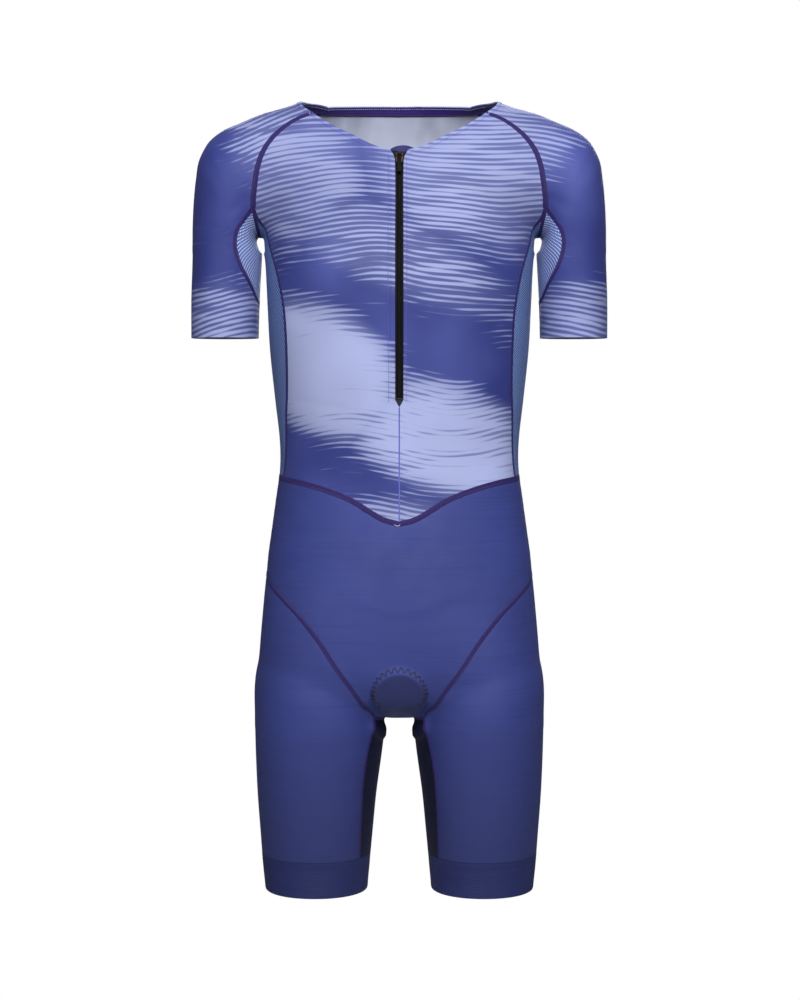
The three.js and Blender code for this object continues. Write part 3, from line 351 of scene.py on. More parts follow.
def castFromRing(at, turn, limb):  # the cloth, straight out from the middle of a limb's ring
    at, turn = np.broadcast_arrays(np.asarray(at, float), np.asarray(turn, float))
    middle = middleOf(limb, at)
    px, pz = limb["pivot"]

    def place(r):
        out = middle + r * np.cos(turn)
        fan = np.radians(-at)
        x = np.where(at > 0, px + out, px + out * np.cos(fan))
        z = np.where(at > 0, pz - at, pz + out * np.sin(fan))
        return np.stack([x, r * np.sin(turn), z], -1)

    near = np.full(at.shape, cast["start"])
    walking = np.ones(at.shape, bool)
    while walking.any() and near.max() < cast["reach"]:
        walking &= field(place(near + cast["step"])) < 0
        near = np.where(walking, near + cast["step"], near)
    low, high = near, near + cast["step"]
    for _ in range(cast["halvings"]):
        half = (low + high) / 2
        inside = field(place(half)) < 0
        low, high = np.where(inside, half, low), np.where(inside, high, half)
    return place(low)


def chartOf(points, limb, sign):
    at, out = fanOf(points[:, 0], points[:, 2], limb["pivot"])
    turn = np.arctan2(points[:, 1], out - middleOf(limb, at))
    if sign:
        turn = np.where(np.abs(np.abs(turn) - math.pi) < cast["onSeam"], sign * math.pi, turn)
    return np.stack([at, turn], 1)


def limbPanel(top, bottom, left, right, limb):
    topChart, bottomChart = chartOf(top, limb, 0), chartOf(bottom, limb, 0)
    bottomChart[0], bottomChart[-1] = chartOf(bottom[:1], limb, -1)[0], chartOf(bottom[-1:], limb, 1)[0]
    grid = blendEdges(topChart, bottomChart, chartOf(left, limb, -1), chartOf(right, limb, 1))
    rings = np.linspace(topChart[len(top) // 2, 0], bottomChart[0, 0], cast["rings"])
    lengths = lengthsAlong(castFromRing(rings, 0, limb))
    outside = np.interp(np.linspace(0, lengths[-1], len(left)), lengths, rings)
    share = np.sin(np.pi * np.linspace(0, 1, len(top)))[None]
    at = grid[..., 0] + (outside[:, None] - grid[..., 0]) * share
    return relax(keepEdges(castFromRing(at, grid[..., 1], limb), top, bottom, left, right))


def levelRing(limb, z, start, end, count, way):
    at = limb["pivot"][1] - z
    middle = middleOf(limb, np.array([at]))[0]
    turns = [math.atan2(p[1], p[0] - limb["pivot"][0] - middle) for p in (start, end)]
    if way == "inside":
        turns[1] -= 2 * math.pi
    if way == "round":
        turns = [-math.pi, math.pi]
    ring = castFromRing(at, np.linspace(turns[0], turns[1], count + 1), limb)
    ring[0], ring[-1] = start, end
    return ring


fine = cloth["fineness"]
neckFront, neckSide, neckBack = seam("neckFront"), seam("neckSide"), seam("neckBack")
raglanFront, raglanBack = seam("raglanFront"), seam("raglanBack")
armpit, gussetFront, underarm = seam("armpit"), seam("gusset"), seam("underarm", True)
gussetBack = settle(mirrorY(gussetFront))
gussetBack[0], gussetBack[-1] = raglanBack[-1], gussetFront[-1]
sideFront = seam("side")
seamPoints["sideBack"] = [(x, -y, z) for x, y, z in seamPoints["side"][:-1]]
seamPoints["sideBack"].append(seamPoints["waistBack"][0])
seamSteps["sideBack"] = seamSteps["side"]
sideBack = seam("sideBack")
waistFront, waistSide, waistBack = seam("waistFront"), seam("waistSide"), seam("waistBack")
hipSide, hipFront, hipBack = seam("hipSide"), seam("hipFront"), seam("hipBack")
crotch, innerLegFront, innerLegBack = seam("crotch"), seam("innerLegFront"), seam("innerLegBack")
waistMiddle, crotchMiddle = len(waistSide) // 2, len(crotch) // 2
hipSide[0] = waistSide[waistMiddle]


def zipEdge():
    edge, z = zipper["edge"], zipper
    return settle(curveThrough(settle([
        (z["topEdge"], -86, z["top"]), (z["funnelEdge"], -87, z["funnel"]),
        (edge, -90, z["straight"]), (edge, -112, -150), (edge, -110, -230), (edge, -96, z["end"]),
    ]), z["steps"] * fine))


def bellySeam():
    return settle(curveThrough(settle([
        (0, -95, zipper["foot"]), (0, -92, -370), (0, -95, -435.6),
    ]), zipper["belly"] * fine))


zipRun, bellyRun = zipEdge(), bellySeam()
footRun = settle(evenly(np.vstack([zipRun[-1], bellyRun[0]]), fine))
frontEdge = chain(zipRun, footRun, bellyRun)
frontEdge[0], frontEdge[-1] = neckFront[0], waistFront[0]


def crotchCross(count):
    half = crotch[crotchMiddle]
    run = settle([(half[0] * (2 * i / count - 1), 0, torso["crotch"]) for i in range(count + 1)])
    run[0], run[-1] = mirrorX(half), half
    return run


def makePanels():
    backLeft = chain(raglanBack, sideBack)
    cuff = levelRing(arm, cloth["cuff"], underarm[-1], underarm[-1], len(neckSide) - 1, "round")
    end = 5 * fine
    frontWaist = acrossBoth(chain(waistFront, waistSide[:waistMiddle + 1]))
    backWaist = acrossBoth(chain(waistBack[::-1], waistSide[waistMiddle:][::-1]))
    shortsFrontLeft = chain(hipSide, hipFront, crotch[:crotchMiddle + 1])
    shortsBackLeft = chain(hipSide, hipBack, crotch[crotchMiddle:][::-1])
    arch = 6 * fine
    legTop = chain(hipFront[:arch + 1][::-1], hipBack[:arch + 1])
    outerRing = levelRing(leg, cloth["bandTop"], innerLegFront[-1], innerLegBack[-1], 2 * arch, "outside")
    innerRing = levelRing(leg, cloth["bandTop"], innerLegFront[-1], innerLegBack[-1],
                          len(crotch) - 1, "inside")
    panels = {
        "front": spacePanel(neckFront, waistFront, frontEdge, chain(raglanFront, sideFront)),
        "back": spacePanel(acrossBoth(neckBack[::-1]), acrossBoth(waistBack[::-1]),
                           mirrorX(backLeft), backLeft),
        "sleeve": limbPanel(neckSide, cuff, chain(raglanFront, gussetFront, underarm),
                            chain(raglanBack, gussetBack, underarm), arm),
        "underarm_gusset": spacePanel(armpit, chain(gussetFront[end:], gussetBack[end:][::-1]),
                                      gussetFront[:end + 1], gussetBack[:end + 1], armForm),
        "side_panel": spacePanel(armpit, waistSide, sideFront, sideBack),
        "shorts_front": spacePanel(frontWaist, crotchCross(len(frontWaist) - 1),
                                   mirrorX(shortsFrontLeft), shortsFrontLeft),
        "shorts_back": spacePanel(backWaist, crotchCross(len(backWaist) - 1),
                                  mirrorX(shortsBackLeft), shortsBackLeft),
        "leg": limbPanel(legTop, outerRing, chain(hipFront[arch:], innerLegFront),
                         chain(hipBack[arch:], innerLegBack), leg),
        "inner_leg": spacePanel(crotch, innerRing, innerLegFront, innerLegBack),
    }
    return panels, chain(outerRing, innerRing[::-1])


panels, bandRing = makePanels()
print("panels laid out:", ", ".join(panels))


# Relief of the cloth: soft creases, listed one by one, and the small pull of the seams on it

# Each crease: from, to, depth and width in millimetres. A depth below zero is a trough
creases = [
    ((-150, -60, -80), (-118, -88, -112), -1.1, 6),
    ((-146, -58, -92), (-104, -92, -134), -0.8, 8),
    ((149, -60, -84), (122, -84, -118), -1.2, 6),
    ((145, -58, -98), (110, -90, -142), -0.7, 9),
    ((-156, -56, -90), (-182, -52, -112), -0.9, 6),
    ((157, -56, -92), (186, -50, -108), -0.9, 6),
    ((-118, -62, -210), (-84, -92, -226), -0.7, 9),
    ((119, -62, -214), (88, -92, -236), -0.8, 10),
    ((-60, -88, -404), (-24, -93, -386), -0.7, 8),
    ((52, -88, -402), (20, -92, -388), -0.6, 7),
    ((-40, -74, -616), (-70, -93, -600), -0.8, 7),
    ((40, -74, -618), (74, -92, -604), -0.9, 7),
    ((-44, -62, -650), (-76, -76, -668), -0.7, 7),
    ((44, -62, -652), (82, -74, -676), -0.7, 8),
    ((-70, 74, -372), (26, 80, -362), -1.3, 8),
    ((-20, 80, -340), (82, 70, -350), -1.1, 9),
    ((-96, 60, -330), (-30, 78, -322), -0.8, 8),
    ((-128, 62, -60), (-84, 88, -104), -1.2, 9),
    ((130, 62, -64), (80, 90, -112), -1.0, 9),
    ((-60, 96, -600), (-96, 92, -588), -1.2, 8),
    ((58, 96, -604), (98, 90, -594), -1.2, 9),
    ((-50, 84, -634), (-100, 82, -646), -1.0, 9),
    ((48, 84, -636), (104, 82, -650), -0.9, 9),
    ((0, 104, -470), (4, 114, -560), -1.0, 11),
    ((-119, -51, -304), (-88, -77, -310), -0.45, 3.5),
    ((-88, -77, -310), (-54, -90, -316), -0.4, 3.5),
    ((60, -89, -312), (90, -76, -302), -0.4, 3.5),
]
creaseFade = {"start": 0.12, "span": 0.76}  # the part of a half wave that a crease fades along
# Light vertical folds in the back of the neck: x, depth, width
neckFolds = [(-64, -2.2, 4), (-49, 1.8, 3.5), (-31, -1.8, 4), (-9, -1.4, 3.5), (14, -2.3, 3.5),
             (29, 1.9, 4), (42, -2.5, 4), (61, 1.7, 4.5)]
# Each pair is where something ends and where it is full
neckFade = {"depth": (30, 55), "below": (-150, -60), "above": (14, -8), "lean": 0.12, "level": -40}
guardEdge = {"dip": 0.25, "wide": 1.3, "depth": (-60, -75), "below": (-314, -308)}
padStitch = {"z": -621, "radius": 31.2, "swing": 2, "pitch": 6.5, "dip": -0.6, "dipWide": 2.4,
             "behind": -30, "thread": 0.6, "rise": 0.2}
pull = {"dip": -0.32, "dipWide": 5, "pucker": 0.28, "puckerWide": 9, "pitch": 12.5,
        "pinned": 3, "uneven": 1.7, "unevenPitch": 31, "apart": 37}


def makeSeamTree():
    both = [frontEdge[len(zipRun):], underarm, hipSide, raglanFront, raglanBack, armpit,
            gussetFront, gussetBack, sideFront, sideBack, waistFront, waistSide, waistBack,
            hipFront, hipBack, crotch, innerLegFront, innerLegBack]
    runs = both + [mirrorX(run) for run in both]
    tree = kdtree.KDTree(sum(len(run) for run in runs))
    along = []
    for number, run in enumerate(runs):
        for p, length in zip(run, lengthsAlong(run) + pull["apart"] * number):
            tree.insert(Vector(p), len(along))
            along.append(length)
    tree.balance()
    return tree, np.array(along)


seamTree, seamAlong = makeSeamTree()


def nearSeams(p):
    flat = p.reshape(-1, 3)
    found = [seamTree.find(q) for q in flat.tolist()]
    far = np.array([f[2] for f in found]).reshape(p.shape[:-1])
    along = seamAlong[[f[1] for f in found]].reshape(p.shape[:-1])
    return far, along


def creaseRelief(p):
    total = np.zeros(p.shape[:-1])
    for start, end, deep, wide in creases:
        a, b = np.array(start, float), np.array(end, float)
        t = np.clip(((p - a) @ (b - a)) / ((b - a) @ (b - a)), 0, 1)
        far = np.linalg.norm(p - a - t[..., None] * (b - a), axis=-1)
        fade = np.sin(np.pi * (creaseFade["start"] + creaseFade["span"] * t))
        total += deep * np.exp(-(far / wide) ** 2) * fade
    return total


def relief(p):  # how far the cloth stands out from its form, in millimetres
    x, y, z = p[..., 0], p[..., 1], p[..., 2]
    total = creaseRelief(p)
    behind = smooth(*neckFade["depth"], y) * smooth(*neckFade["below"], z)
    behind = behind * smooth(*neckFade["above"], z)
    for middle, deep, wide in neckFolds:
        lean = x - middle - neckFade["lean"] * (z - neckFade["level"])
        total += deep * np.exp(-(lean / wide) ** 2) * behind
    far, along = nearSeams(p)
    total += pull["dip"] * np.exp(-(far / pull["dipWide"]) ** 2)
    uneven = pull["uneven"] * np.sin(along / pull["unevenPitch"])
    ripple = np.sin(2 * np.pi * along / pull["pitch"] + uneven)
    free = (far / pull["pinned"]) ** 2
    fade = free / (1 + free) * np.exp(-(far / pull["puckerWide"]) ** 2)
    total += pull["pucker"] * ripple * fade
    beside = smooth(*guardEdge["depth"], y) * smooth(*guardEdge["below"], z)
    for middle in (zipper["guardLeft"], zipper["guardRight"]):
        total -= guardEdge["dip"] * np.exp(-((x - middle) / guardEdge["wide"]) ** 2) * beside
    fromRing = np.hypot(x, z - padStitch["z"]) - padStitch["radius"]
    ring = np.exp(-(fromRing / padStitch["dipWide"]) ** 2) * (y < padStitch["behind"])
    return total + padStitch["dip"] * ring


# Meshes

sharpAngle = 55  # degrees between two faces, past which their edge stays crisp


def finishMesh(name, points, faces, materials, uv, faceMaterial=None):
    mesh = bpy.data.meshes.new(name)
    mesh.from_pydata((np.asarray(points) * mm).tolist(), [], np.asarray(faces).tolist())
    piece = bpy.data.objects.new(name, mesh)
    bpy.context.scene.collection.objects.link(piece)
    for material in materials:
        mesh.materials.append(material)
    if faceMaterial is not None:
        mesh.polygons.foreach_set("material_index", np.asarray(faceMaterial, np.int32))
    layer = mesh.uv_layers.new(name="cut")
    corner = np.zeros(len(mesh.loops), np.int32)
    mesh.loops.foreach_get("vertex_index", corner)
    layer.data.foreach_set("uv", (np.asarray(uv)[corner] * mm).astype(np.float32).ravel())
    mesh.shade_smooth()
    mesh.set_sharp_from_angle(angle=math.radians(sharpAngle))
    mesh.update()
    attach(piece, "garment")
    return piece


def gridFaces(rows, columns, ring=False):
    j, i = np.meshgrid(np.arange(rows - 1), np.arange(columns if ring else columns - 1), indexing="ij")
    j, i = j.ravel(), i.ravel()
    after = (i + 1) % columns
    return np.stack([j * columns + i, (j + 1) * columns + i, (j + 1) * columns + after,
                     j * columns + after], 1)


def turnedOut(points, faces):  # the faces of a closed body, pointing out
    a, b, c, d = (points[faces[:, k]] for k in range(4))
    volume = (np.cross(b, c) * a).sum() + (np.cross(c, d) * a).sum()
    return faces if volume > 0 else faces[:, ::-1]


def shell(outer, inner, ring=False):  # one closed wall between two grids
    rows, columns = outer.shape[:2]
    count = rows * columns
    front = gridFaces(rows, columns, ring)
    back = gridFaces(rows, columns, ring)[:, ::-1] + count
    if ring:
        top = np.arange(columns)
        rims = [np.stack([top, np.roll(top, -1)], 1)]
        last = top + (rows - 1) * columns
        rims.append(np.stack([np.roll(last, -1), last], 1))
    else:
        edge = np.concatenate([
            np.arange(columns), np.arange(1, rows) * columns + columns - 1,
            (rows - 1) * columns + np.arange(columns - 2, -1, -1), np.arange(rows - 2, 0, -1) * columns,
        ])
        rims = [np.stack([edge, np.roll(edge, -1)], 1)]
    rim = np.vstack([np.stack([e[:, 0], e[:, 1], e[:, 1] + count, e[:, 0] + count], 1) for e in rims])
    points = np.vstack([outer.reshape(-1, 3), inner.reshape(-1, 3)])
    faces = np.vstack([front, back, rim])
    kind = np.concatenate([np.zeros(len(front)), np.ones(len(back)), np.zeros(len(rim))])
    return points, turnedOut(points, faces), kind


def cutSizes(grid):
    across = max(lengthsAlong(row)[-1] for row in grid)
    down = max(lengthsAlong(grid[:, i])[-1] for i in range(grid.shape[1]))
    a, b = grid[1:, 1:] - grid[:-1, :-1], grid[1:, :-1] - grid[:-1, 1:]
    area = np.linalg.norm(np.cross(a, b), axis=-1).sum() / 2
    return across, down, area


def uvOf(grid):
    across, down, _ = cutSizes(grid)
    v, u = np.meshgrid(np.linspace(0, -down, grid.shape[0]), np.linspace(0, across, grid.shape[1]),
                       indexing="ij")
    return np.stack([u, v], -1).reshape(-1, 2)


flatSizes = []


def declareSheet(node, grid, held="stretched"):
    across, down, area = cutSizes(grid)
    t = mm * (cloth["tension"] if held == "stretched" else 1)
    flatSizes.append((node, round(across * t, 3), round(down * t, 3), round(area * t * t, 4)))


def clothPiece(node, grid, outside, inside):
    normals = outward(grid, armForm if "gusset" in node else field)
    outer = grid + normals * relief(grid)[..., None]
    points, faces, kind = shell(outer, outer - normals * cloth["thick"])
    uv = np.vstack([uvOf(grid)] * 2)
    piece = finishMesh("cloth_" + node, points, faces, [outside, inside], uv, kind)
    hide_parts(node)
    declareSheet(node, outer)


# Finishes

def linear(colour):
    return tuple(((c / 255 + 0.055) / 1.055) ** 2.4 if c > 10 else c / 3295 for c in colour) + (1,)


def deeper(colour, share=0.8):
    return tuple(c * share for c in colour)


def newMaterial(name, roughness, sheen=0.0, metal=0.0, specular=0.22):
    material = bpy.data.materials.new(name)
    material.use_nodes = True
    tree = material.node_tree
    shader = tree.nodes["Principled BSDF"]
    for socket, value in (("Roughness", roughness), ("Specular IOR Level", specular),
                          ("Sheen Weight", sheen), ("Sheen Roughness", 0.4), ("Metallic", metal)):
        shader.inputs[socket].default_value = value
    shader.inputs["Sheen Tint"].default_value = linear((120, 124, 200))
    return material, tree, shader


def feed(tree, value, target):
    if isinstance(value, (int, float, tuple)):
        target.default_value = value
    else:
        tree.links.new(value, target)


def calc(tree, operation, a, b=0.0, c=0.0):
    node = tree.nodes.new("ShaderNodeMath")
    node.operation = operation
    for value, target in zip((a, b, c), node.inputs):
        feed(tree, value, target)
    return node.outputs[0]


def between(tree, value, low, high, toLow=0.0, toHigh=1.0):
    node = tree.nodes.new("ShaderNodeMapRange")
    node.interpolation_type = "SMOOTHSTEP"
    for name, number in (("Value", value), ("From Min", low), ("From Max", high),
                         ("To Min", toLow), ("To Max", toHigh)):
        feed(tree, number, node.inputs[name])
    return node.outputs["Result"]


def mixColour(tree, share, a, b):
    node = tree.nodes.new("ShaderNodeMix")
    node.data_type = "RGBA"
    for value, index in ((share, 0), (a, 6), (b, 7)):
        feed(tree, value, node.inputs[index])
    return node.outputs[2]


def noise(tree, vector, scale, detail=2.0, stretch=(1, 1, 1)):
    mapping = tree.nodes.new("ShaderNodeMapping")
    mapping.inputs["Scale"].default_value = stretch
    tree.links.new(vector, mapping.inputs["Vector"])
    node = tree.nodes.new("ShaderNodeTexNoise")
    node.inputs["Scale"].default_value = scale
    node.inputs["Detail"].default_value = detail
    tree.links.new(mapping.outputs[0], node.inputs["Vector"])
    return node.outputs["Fac"]


def placeOf(tree, output):  # the whole vector, then its parts
    node = tree.nodes.new("ShaderNodeTexCoord")
    split = tree.nodes.new("ShaderNodeSeparateXYZ")
    tree.links.new(node.outputs[output], split.inputs[0])
    return [node.outputs[output]] + list(split.outputs)


def addBump(tree, shader, height, distance, strength=0.8):
    node = tree.nodes.new("ShaderNodeBump")
    node.inputs["Strength"].default_value = strength
    node.inputs["Distance"].default_value = distance
    tree.links.new(height, node.inputs["Height"])
    tree.links.new(node.outputs[0], shader.inputs["Normal"])


def wave(tree, value, pitch):  # a sine from 0 to 1
    turned = calc(tree, "SINE", calc(tree, "MULTIPLY", value, 2 * math.pi / pitch))
    return calc(tree, "MULTIPLY_ADD", turned, 0.5, 0.5)


def varied(tree, shader, place, low, high):  # a little unevenness in the gloss
    gloss = between(tree, noise(tree, place, 40.0), 0.3, 0.7, low, high)
    tree.links.new(gloss, shader.inputs["Roughness"])


knit = {"loop": 0.0009, "stretch": 1.25, "bump": 0.00012}


def knitLoops(tree):
    _, u, v, _ = placeOf(tree, "UV")
    rows = wave(tree, v, knit["loop"] * knit["stretch"])
    return calc(tree, "MULTIPLY", wave(tree, u, knit["loop"]), rows), u, v


def paintedPadShade(tree, x, y, z):  # 1 on the front round over the pad dome: the mask for the painted shade there
    side, up = calc(tree, "MULTIPLY", x, x), calc(tree, "SUBTRACT", z, padStitch["z"] * mm)
    far = calc(tree, "SQRT", calc(tree, "MULTIPLY_ADD", up, up, side))
    edge = between(tree, far, padStitch["radius"] * 0.8 * mm, padStitch["radius"] * mm, 1.0, 0.0)
    return calc(tree, "MULTIPLY", edge, between(tree, y, -0.05, -0.02, 1.0, 0.0))


def knitMaterial(name, colour, sheen=0.12, lines=0.0, pad=False):
    material, tree, shader = newMaterial(name, 0.62, sheen)
    loops = knitLoops(tree)[0]
    place, x, y, z = placeOf(tree, "Object")
    shade = mixColour(tree, between(tree, noise(tree, place, 9.0), 0.3, 0.7),
                      linear(colour), linear(deeper(colour, 0.93)))
    if lines:  # faint level streaks, finer across than along
        streak = noise(tree, place, 1.0, 3.0, (9, 9, 420))
        share = calc(tree, "MULTIPLY", between(tree, streak, 0.45, 0.75), lines)
        shade = mixColour(tree, share, shade, linear(deeper(colour, 0.76)))
    if pad:  # painted shade over the pad dome, and slowly darker towards the hem
        # painted shade: the cloth over the pad dome is darkened, as where it faces down
        share = calc(tree, "MULTIPLY", paintedPadShade(tree, x, y, z), 0.8)
        shade = mixColour(tree, share, shade, linear(deeper(colour, 0.66)))
        low = between(tree, z, -0.84, -0.6, 1.0, 0.0)
        shade = mixColour(tree, low, shade, linear(deeper(colour, 0.74)))
    tree.links.new(shade, shader.inputs["Base Color"])
    varied(tree, shader, place, 0.55, 0.68)
    addBump(tree, shader, loops, knit["bump"])
    return material


def meshMaterial(name, colour, dot, cell, size, lean):  # knitted mesh with rows of small holes
    material, tree, shader = newMaterial(name, 0.6, 0.1)
    loops, u, v = knitLoops(tree)
    place = placeOf(tree, "Object")[0]
    row = calc(tree, "DIVIDE", v, cell * 0.62)
    shift = calc(tree, "MULTIPLY", calc(tree, "FLOOR", row), lean)
    column = calc(tree, "ADD", calc(tree, "DIVIDE", u, cell), shift)
    du = calc(tree, "SUBTRACT", calc(tree, "FRACT", column), 0.5)
    dv = calc(tree, "MULTIPLY_ADD", calc(tree, "FRACT", row), 0.62, -0.31)
    square = calc(tree, "ADD", calc(tree, "MULTIPLY", du, du), calc(tree, "MULTIPLY", dv, dv))
    hole = between(tree, calc(tree, "SQRT", square), size * 0.65, size, 1.0, 0.0)
    base = mixColour(tree, between(tree, noise(tree, place, 14.0), 0.35, 0.65),
                     linear(colour), linear(deeper(colour, 0.86)))
    tree.links.new(mixColour(tree, hole, base, linear(dot)), shader.inputs["Base Color"])
    varied(tree, shader, place, 0.55, 0.66)
    sunk = calc(tree, "MULTIPLY", hole, -1.0)
    addBump(tree, shader, calc(tree, "MULTIPLY_ADD", loops, 0.25, sunk), 0.0004)
    return material


# The print is a made-up one of level wavy lines. Its tone runs from 0, dark, to 1, light,
# in soft ovals: x, z, half width, half height, turn in degrees, amount
printPools = {
    "front": [(0.085, -0.06, 0.12, 0.085, -18, 0.48), (-0.11, -0.07, 0.07, 0.075, 12, 0.46),
              (-0.015, -0.15, 0.14, 0.04, -24, 0.4), (-0.085, -0.275, 0.085, 0.055, -28, 0.9),
              (0.055, -0.35, 0.11, 0.05, -20, 0.75), (-0.03, -0.45, 0.10, 0.035, 8, 0.5)],
    "back": [(0.0, 0.03, 0.22, 0.11, 0, 0.75), (-0.06, -0.23, 0.09, 0.06, -30, 0.7),
             (0.07, -0.33, 0.09, 0.05, 22, 0.7), (0.0, -0.42, 0.16, 0.05, 0, 0.45)],
    "sleeve": [(0.115, 0.0, 0.06, 0.08, 24, 0.44), (-0.115, 0.0, 0.06, 0.08, -24, 0.44),
               (0.175, -0.235, 0.10, 0.055, 0, 0.4), (-0.175, -0.235, 0.10, 0.055, 0, 0.4)],
}
printInk = {"light": (160, 168, 209), "dark": (42, 50, 112), "middle": (66, 74, 139)}
printLines = {"pitch": 0.0056, "sway": 0.007, "drift": 0.035, "depth": 0.42, "streak": 1.2}


def printTone(tree, x, z, pools):
    tone = None
    for px, pz, wide, high, turn, amount in pools:
        c, s = math.cos(math.radians(turn)), math.sin(math.radians(turn))
        dx, dz = calc(tree, "SUBTRACT", x, px), calc(tree, "SUBTRACT", z, pz)
        a = calc(tree, "MULTIPLY_ADD", dx, c / wide, calc(tree, "MULTIPLY", dz, s / wide))
        b = calc(tree, "MULTIPLY_ADD", dx, -s / high, calc(tree, "MULTIPLY", dz, c / high))
        far = calc(tree, "MULTIPLY_ADD", a, a, calc(tree, "MULTIPLY", b, b))
        pool = between(tree, far, 0.1, 2.4, amount, 0.0)
        tone = pool if tone is None else calc(tree, "MAXIMUM", tone, pool)
    return tone


def printMaterial(name, pools, tilt):
    material, tree, shader = newMaterial(name, 0.6, 0.12)
    loops = knitLoops(tree)[0]
    place, x, _, z = placeOf(tree, "Object")
    tone = printTone(tree, x, z, pools)
    sway = calc(tree, "MULTIPLY", calc(tree, "SINE", calc(tree, "MULTIPLY", x, 24.0)), printLines["sway"])
    drift = calc(tree, "MULTIPLY_ADD", noise(tree, place, 6.0, 1.0), printLines["drift"], sway)
    slant = calc(tree, "MULTIPLY_ADD", calc(tree, "ABSOLUTE", x), tilt, z)
    lines = wave(tree, calc(tree, "ADD", slant, drift), printLines["pitch"])
    streak = calc(tree, "SUBTRACT", noise(tree, place, 1.0, 2.0, (11, 11, 95)), 0.5)
    edge = calc(tree, "MULTIPLY_ADD", calc(tree, "SUBTRACT", lines, 0.5), printLines["depth"], tone)
    edge = calc(tree, "MULTIPLY_ADD", streak, printLines["streak"], edge)
    dark = mixColour(tree, between(tree, noise(tree, place, 6.5), 0.38, 0.7),
                     linear(printInk["dark"]), linear(printInk["middle"]))
    light = mixColour(tree, between(tree, noise(tree, place, 5.0), 0.3, 0.7),
                      linear(printInk["light"]), linear(deeper(printInk["light"], 0.88)))
    ground = calc(tree, "MULTIPLY", between(tree, tone, 0.15, 0.85), 0.45)
    share = calc(tree, "MULTIPLY_ADD", between(tree, edge, 0.3, 0.6), 0.55, ground)
    tree.links.new(mixColour(tree, share, dark, light), shader.inputs["Base Color"])
    varied(tree, shader, place, 0.54, 0.66)
    addBump(tree, shader, loops, knit["bump"])
    return material


def threadMaterial(name, colour, pitch):  # crossed threads over a flat seam, or a woven tape
    material, tree, shader = newMaterial(name, 0.55, 0.08)
    _, u, v, _ = placeOf(tree, "UV")
    slant = calc(tree, "MULTIPLY_ADD", calc(tree, "ABSOLUTE", v), 0.9, u)
    ridge = wave(tree, slant, pitch)
    height = calc(tree, "MULTIPLY_ADD", wave(tree, v, pitch * 1.7), 0.5, ridge)
    # painted shade: the threads are darker where the ridge is low, in the grooves between them
    tree.links.new(mixColour(tree, ridge, linear(deeper(colour, 0.6)), linear(colour)),
                   shader.inputs["Base Color"])
    addBump(tree, shader, height, 0.0003)
    return material


def plainMaterial(name, colour, roughness, metal=0.0, specular=0.5):
    material, tree, shader = newMaterial(name, roughness, 0.0, metal, specular)
    place = placeOf(tree, "Object")[0]
    spots = noise(tree, place, 900.0, 3.0)
    shade = mixColour(tree, between(tree, spots, 0.3, 0.75), linear(colour), linear(deeper(colour)))
    tree.links.new(shade, shader.inputs["Base Color"])
    varied(tree, shader, place, roughness * 0.9, min(1.0, roughness * 1.15))
    addBump(tree, shader, spots, 0.00003, 0.5)
    return material


finishes = {
    "front": printMaterial("front_print", printPools["front"], 0.05),
    "back": printMaterial("back_print", printPools["back"], 0.05),
    "sleeve": printMaterial("sleeve_print", printPools["sleeve"], 0.25),
    "gusset": meshMaterial("gusset_mesh", (80, 99, 162), (196, 209, 236), 0.0036, 0.25, 0.5),
    "side": meshMaterial("side_mesh", (66, 86, 150), (142, 172, 212), 0.0036, 0.25, 0.33),
    "shorts": knitMaterial("shorts_knit", (51, 60, 123), 0.05, 0.3, True),
    "innerLeg": knitMaterial("inner_leg_knit", (13, 15, 42), 0.04),
    "inside": meshMaterial("inside_knit", (178, 183, 204), (120, 126, 152), 0.0027, 0.2, 0.5),
    "innerDark": knitMaterial("inner_leg_inside", (34, 36, 66), 0.04),
    # band colour: the shorts' own blue, darkened further with painted shade of the lower leg
    "band": knitMaterial("band_knit", (30, 37, 86), 0.04, 0.3),
    "thread": threadMaterial("seam_thread", (50, 38, 104), 0.0012),
    "tape": threadMaterial("neck_tape_weave", (56, 40, 118), 0.0016),
    "zipTape": threadMaterial("zip_tape_weave", (10, 10, 14), 0.0013),
    "coil": plainMaterial("zip_coil_nylon", (5, 5, 7), 0.45, 0.0, 0.12),
    "guard": knitMaterial("zip_guard_knit", (30, 31, 86), 0.05),
    "bronze": plainMaterial("slider_bronze", (60, 46, 32), 0.5, 0.9),
    "tab": plainMaterial("pull_tab_black", (5, 5, 7), 0.6, 0.0, 0.08),
    "pad": knitMaterial("pad_microfibre", (42, 46, 98), 0.35),
    "stitch": plainMaterial("print_stitch", (86, 88, 176), 0.6),
    "paleStitch": plainMaterial("pale_stitch", (196, 192, 228), 0.6),
    "darkStitch": plainMaterial("dark_stitch", (20, 22, 58), 0.6),
    "redStitch": plainMaterial("purple_stitch", (96, 44, 112), 0.6),
}
print("finishes made:", len(finishes))


# The cloth pieces, left and right

sides = (("left", False), ("right", True))
clothTable = [  # node, finish, inside finish, slot, what it is sewn to
    ("front", "front", "inside", "upper_print", "sleeve"),
    ("sleeve", "sleeve", "inside", "sleeve_print", "underarm_gusset"),
    ("underarm_gusset", "gusset", "inside", "side_mesh", "side_panel"),
    ("side_panel", "side", "inside", "side_mesh", "front"),
    ("leg", "shorts", "inside", "shorts_cloth", "inner_leg"),
    ("inner_leg", "innerLeg", "innerDark", "inner_leg_cloth", "leg"),
]


def addCloth():
    f = finishes
    for side, right in sides:
        for node, finish, inner, slot, sewnTo in clothTable:
            grid = mirrorX(panels[node])[:, ::-1] if right else panels[node]
            clothPiece(f"{node}_{side}", grid, f[finish], f[inner])
    clothPiece("back", panels["back"], f["back"], f["inside"])
    clothPiece("shorts_front", panels["shorts_front"], f["shorts"], f["inside"])
    clothPiece("shorts_back", panels["shorts_back"], f["shorts"], f["inside"])


addCloth()
print("cloth pieces made:", len(flatSizes))


# Gripper bands: fine level ribs below a line that rises towards the outer side

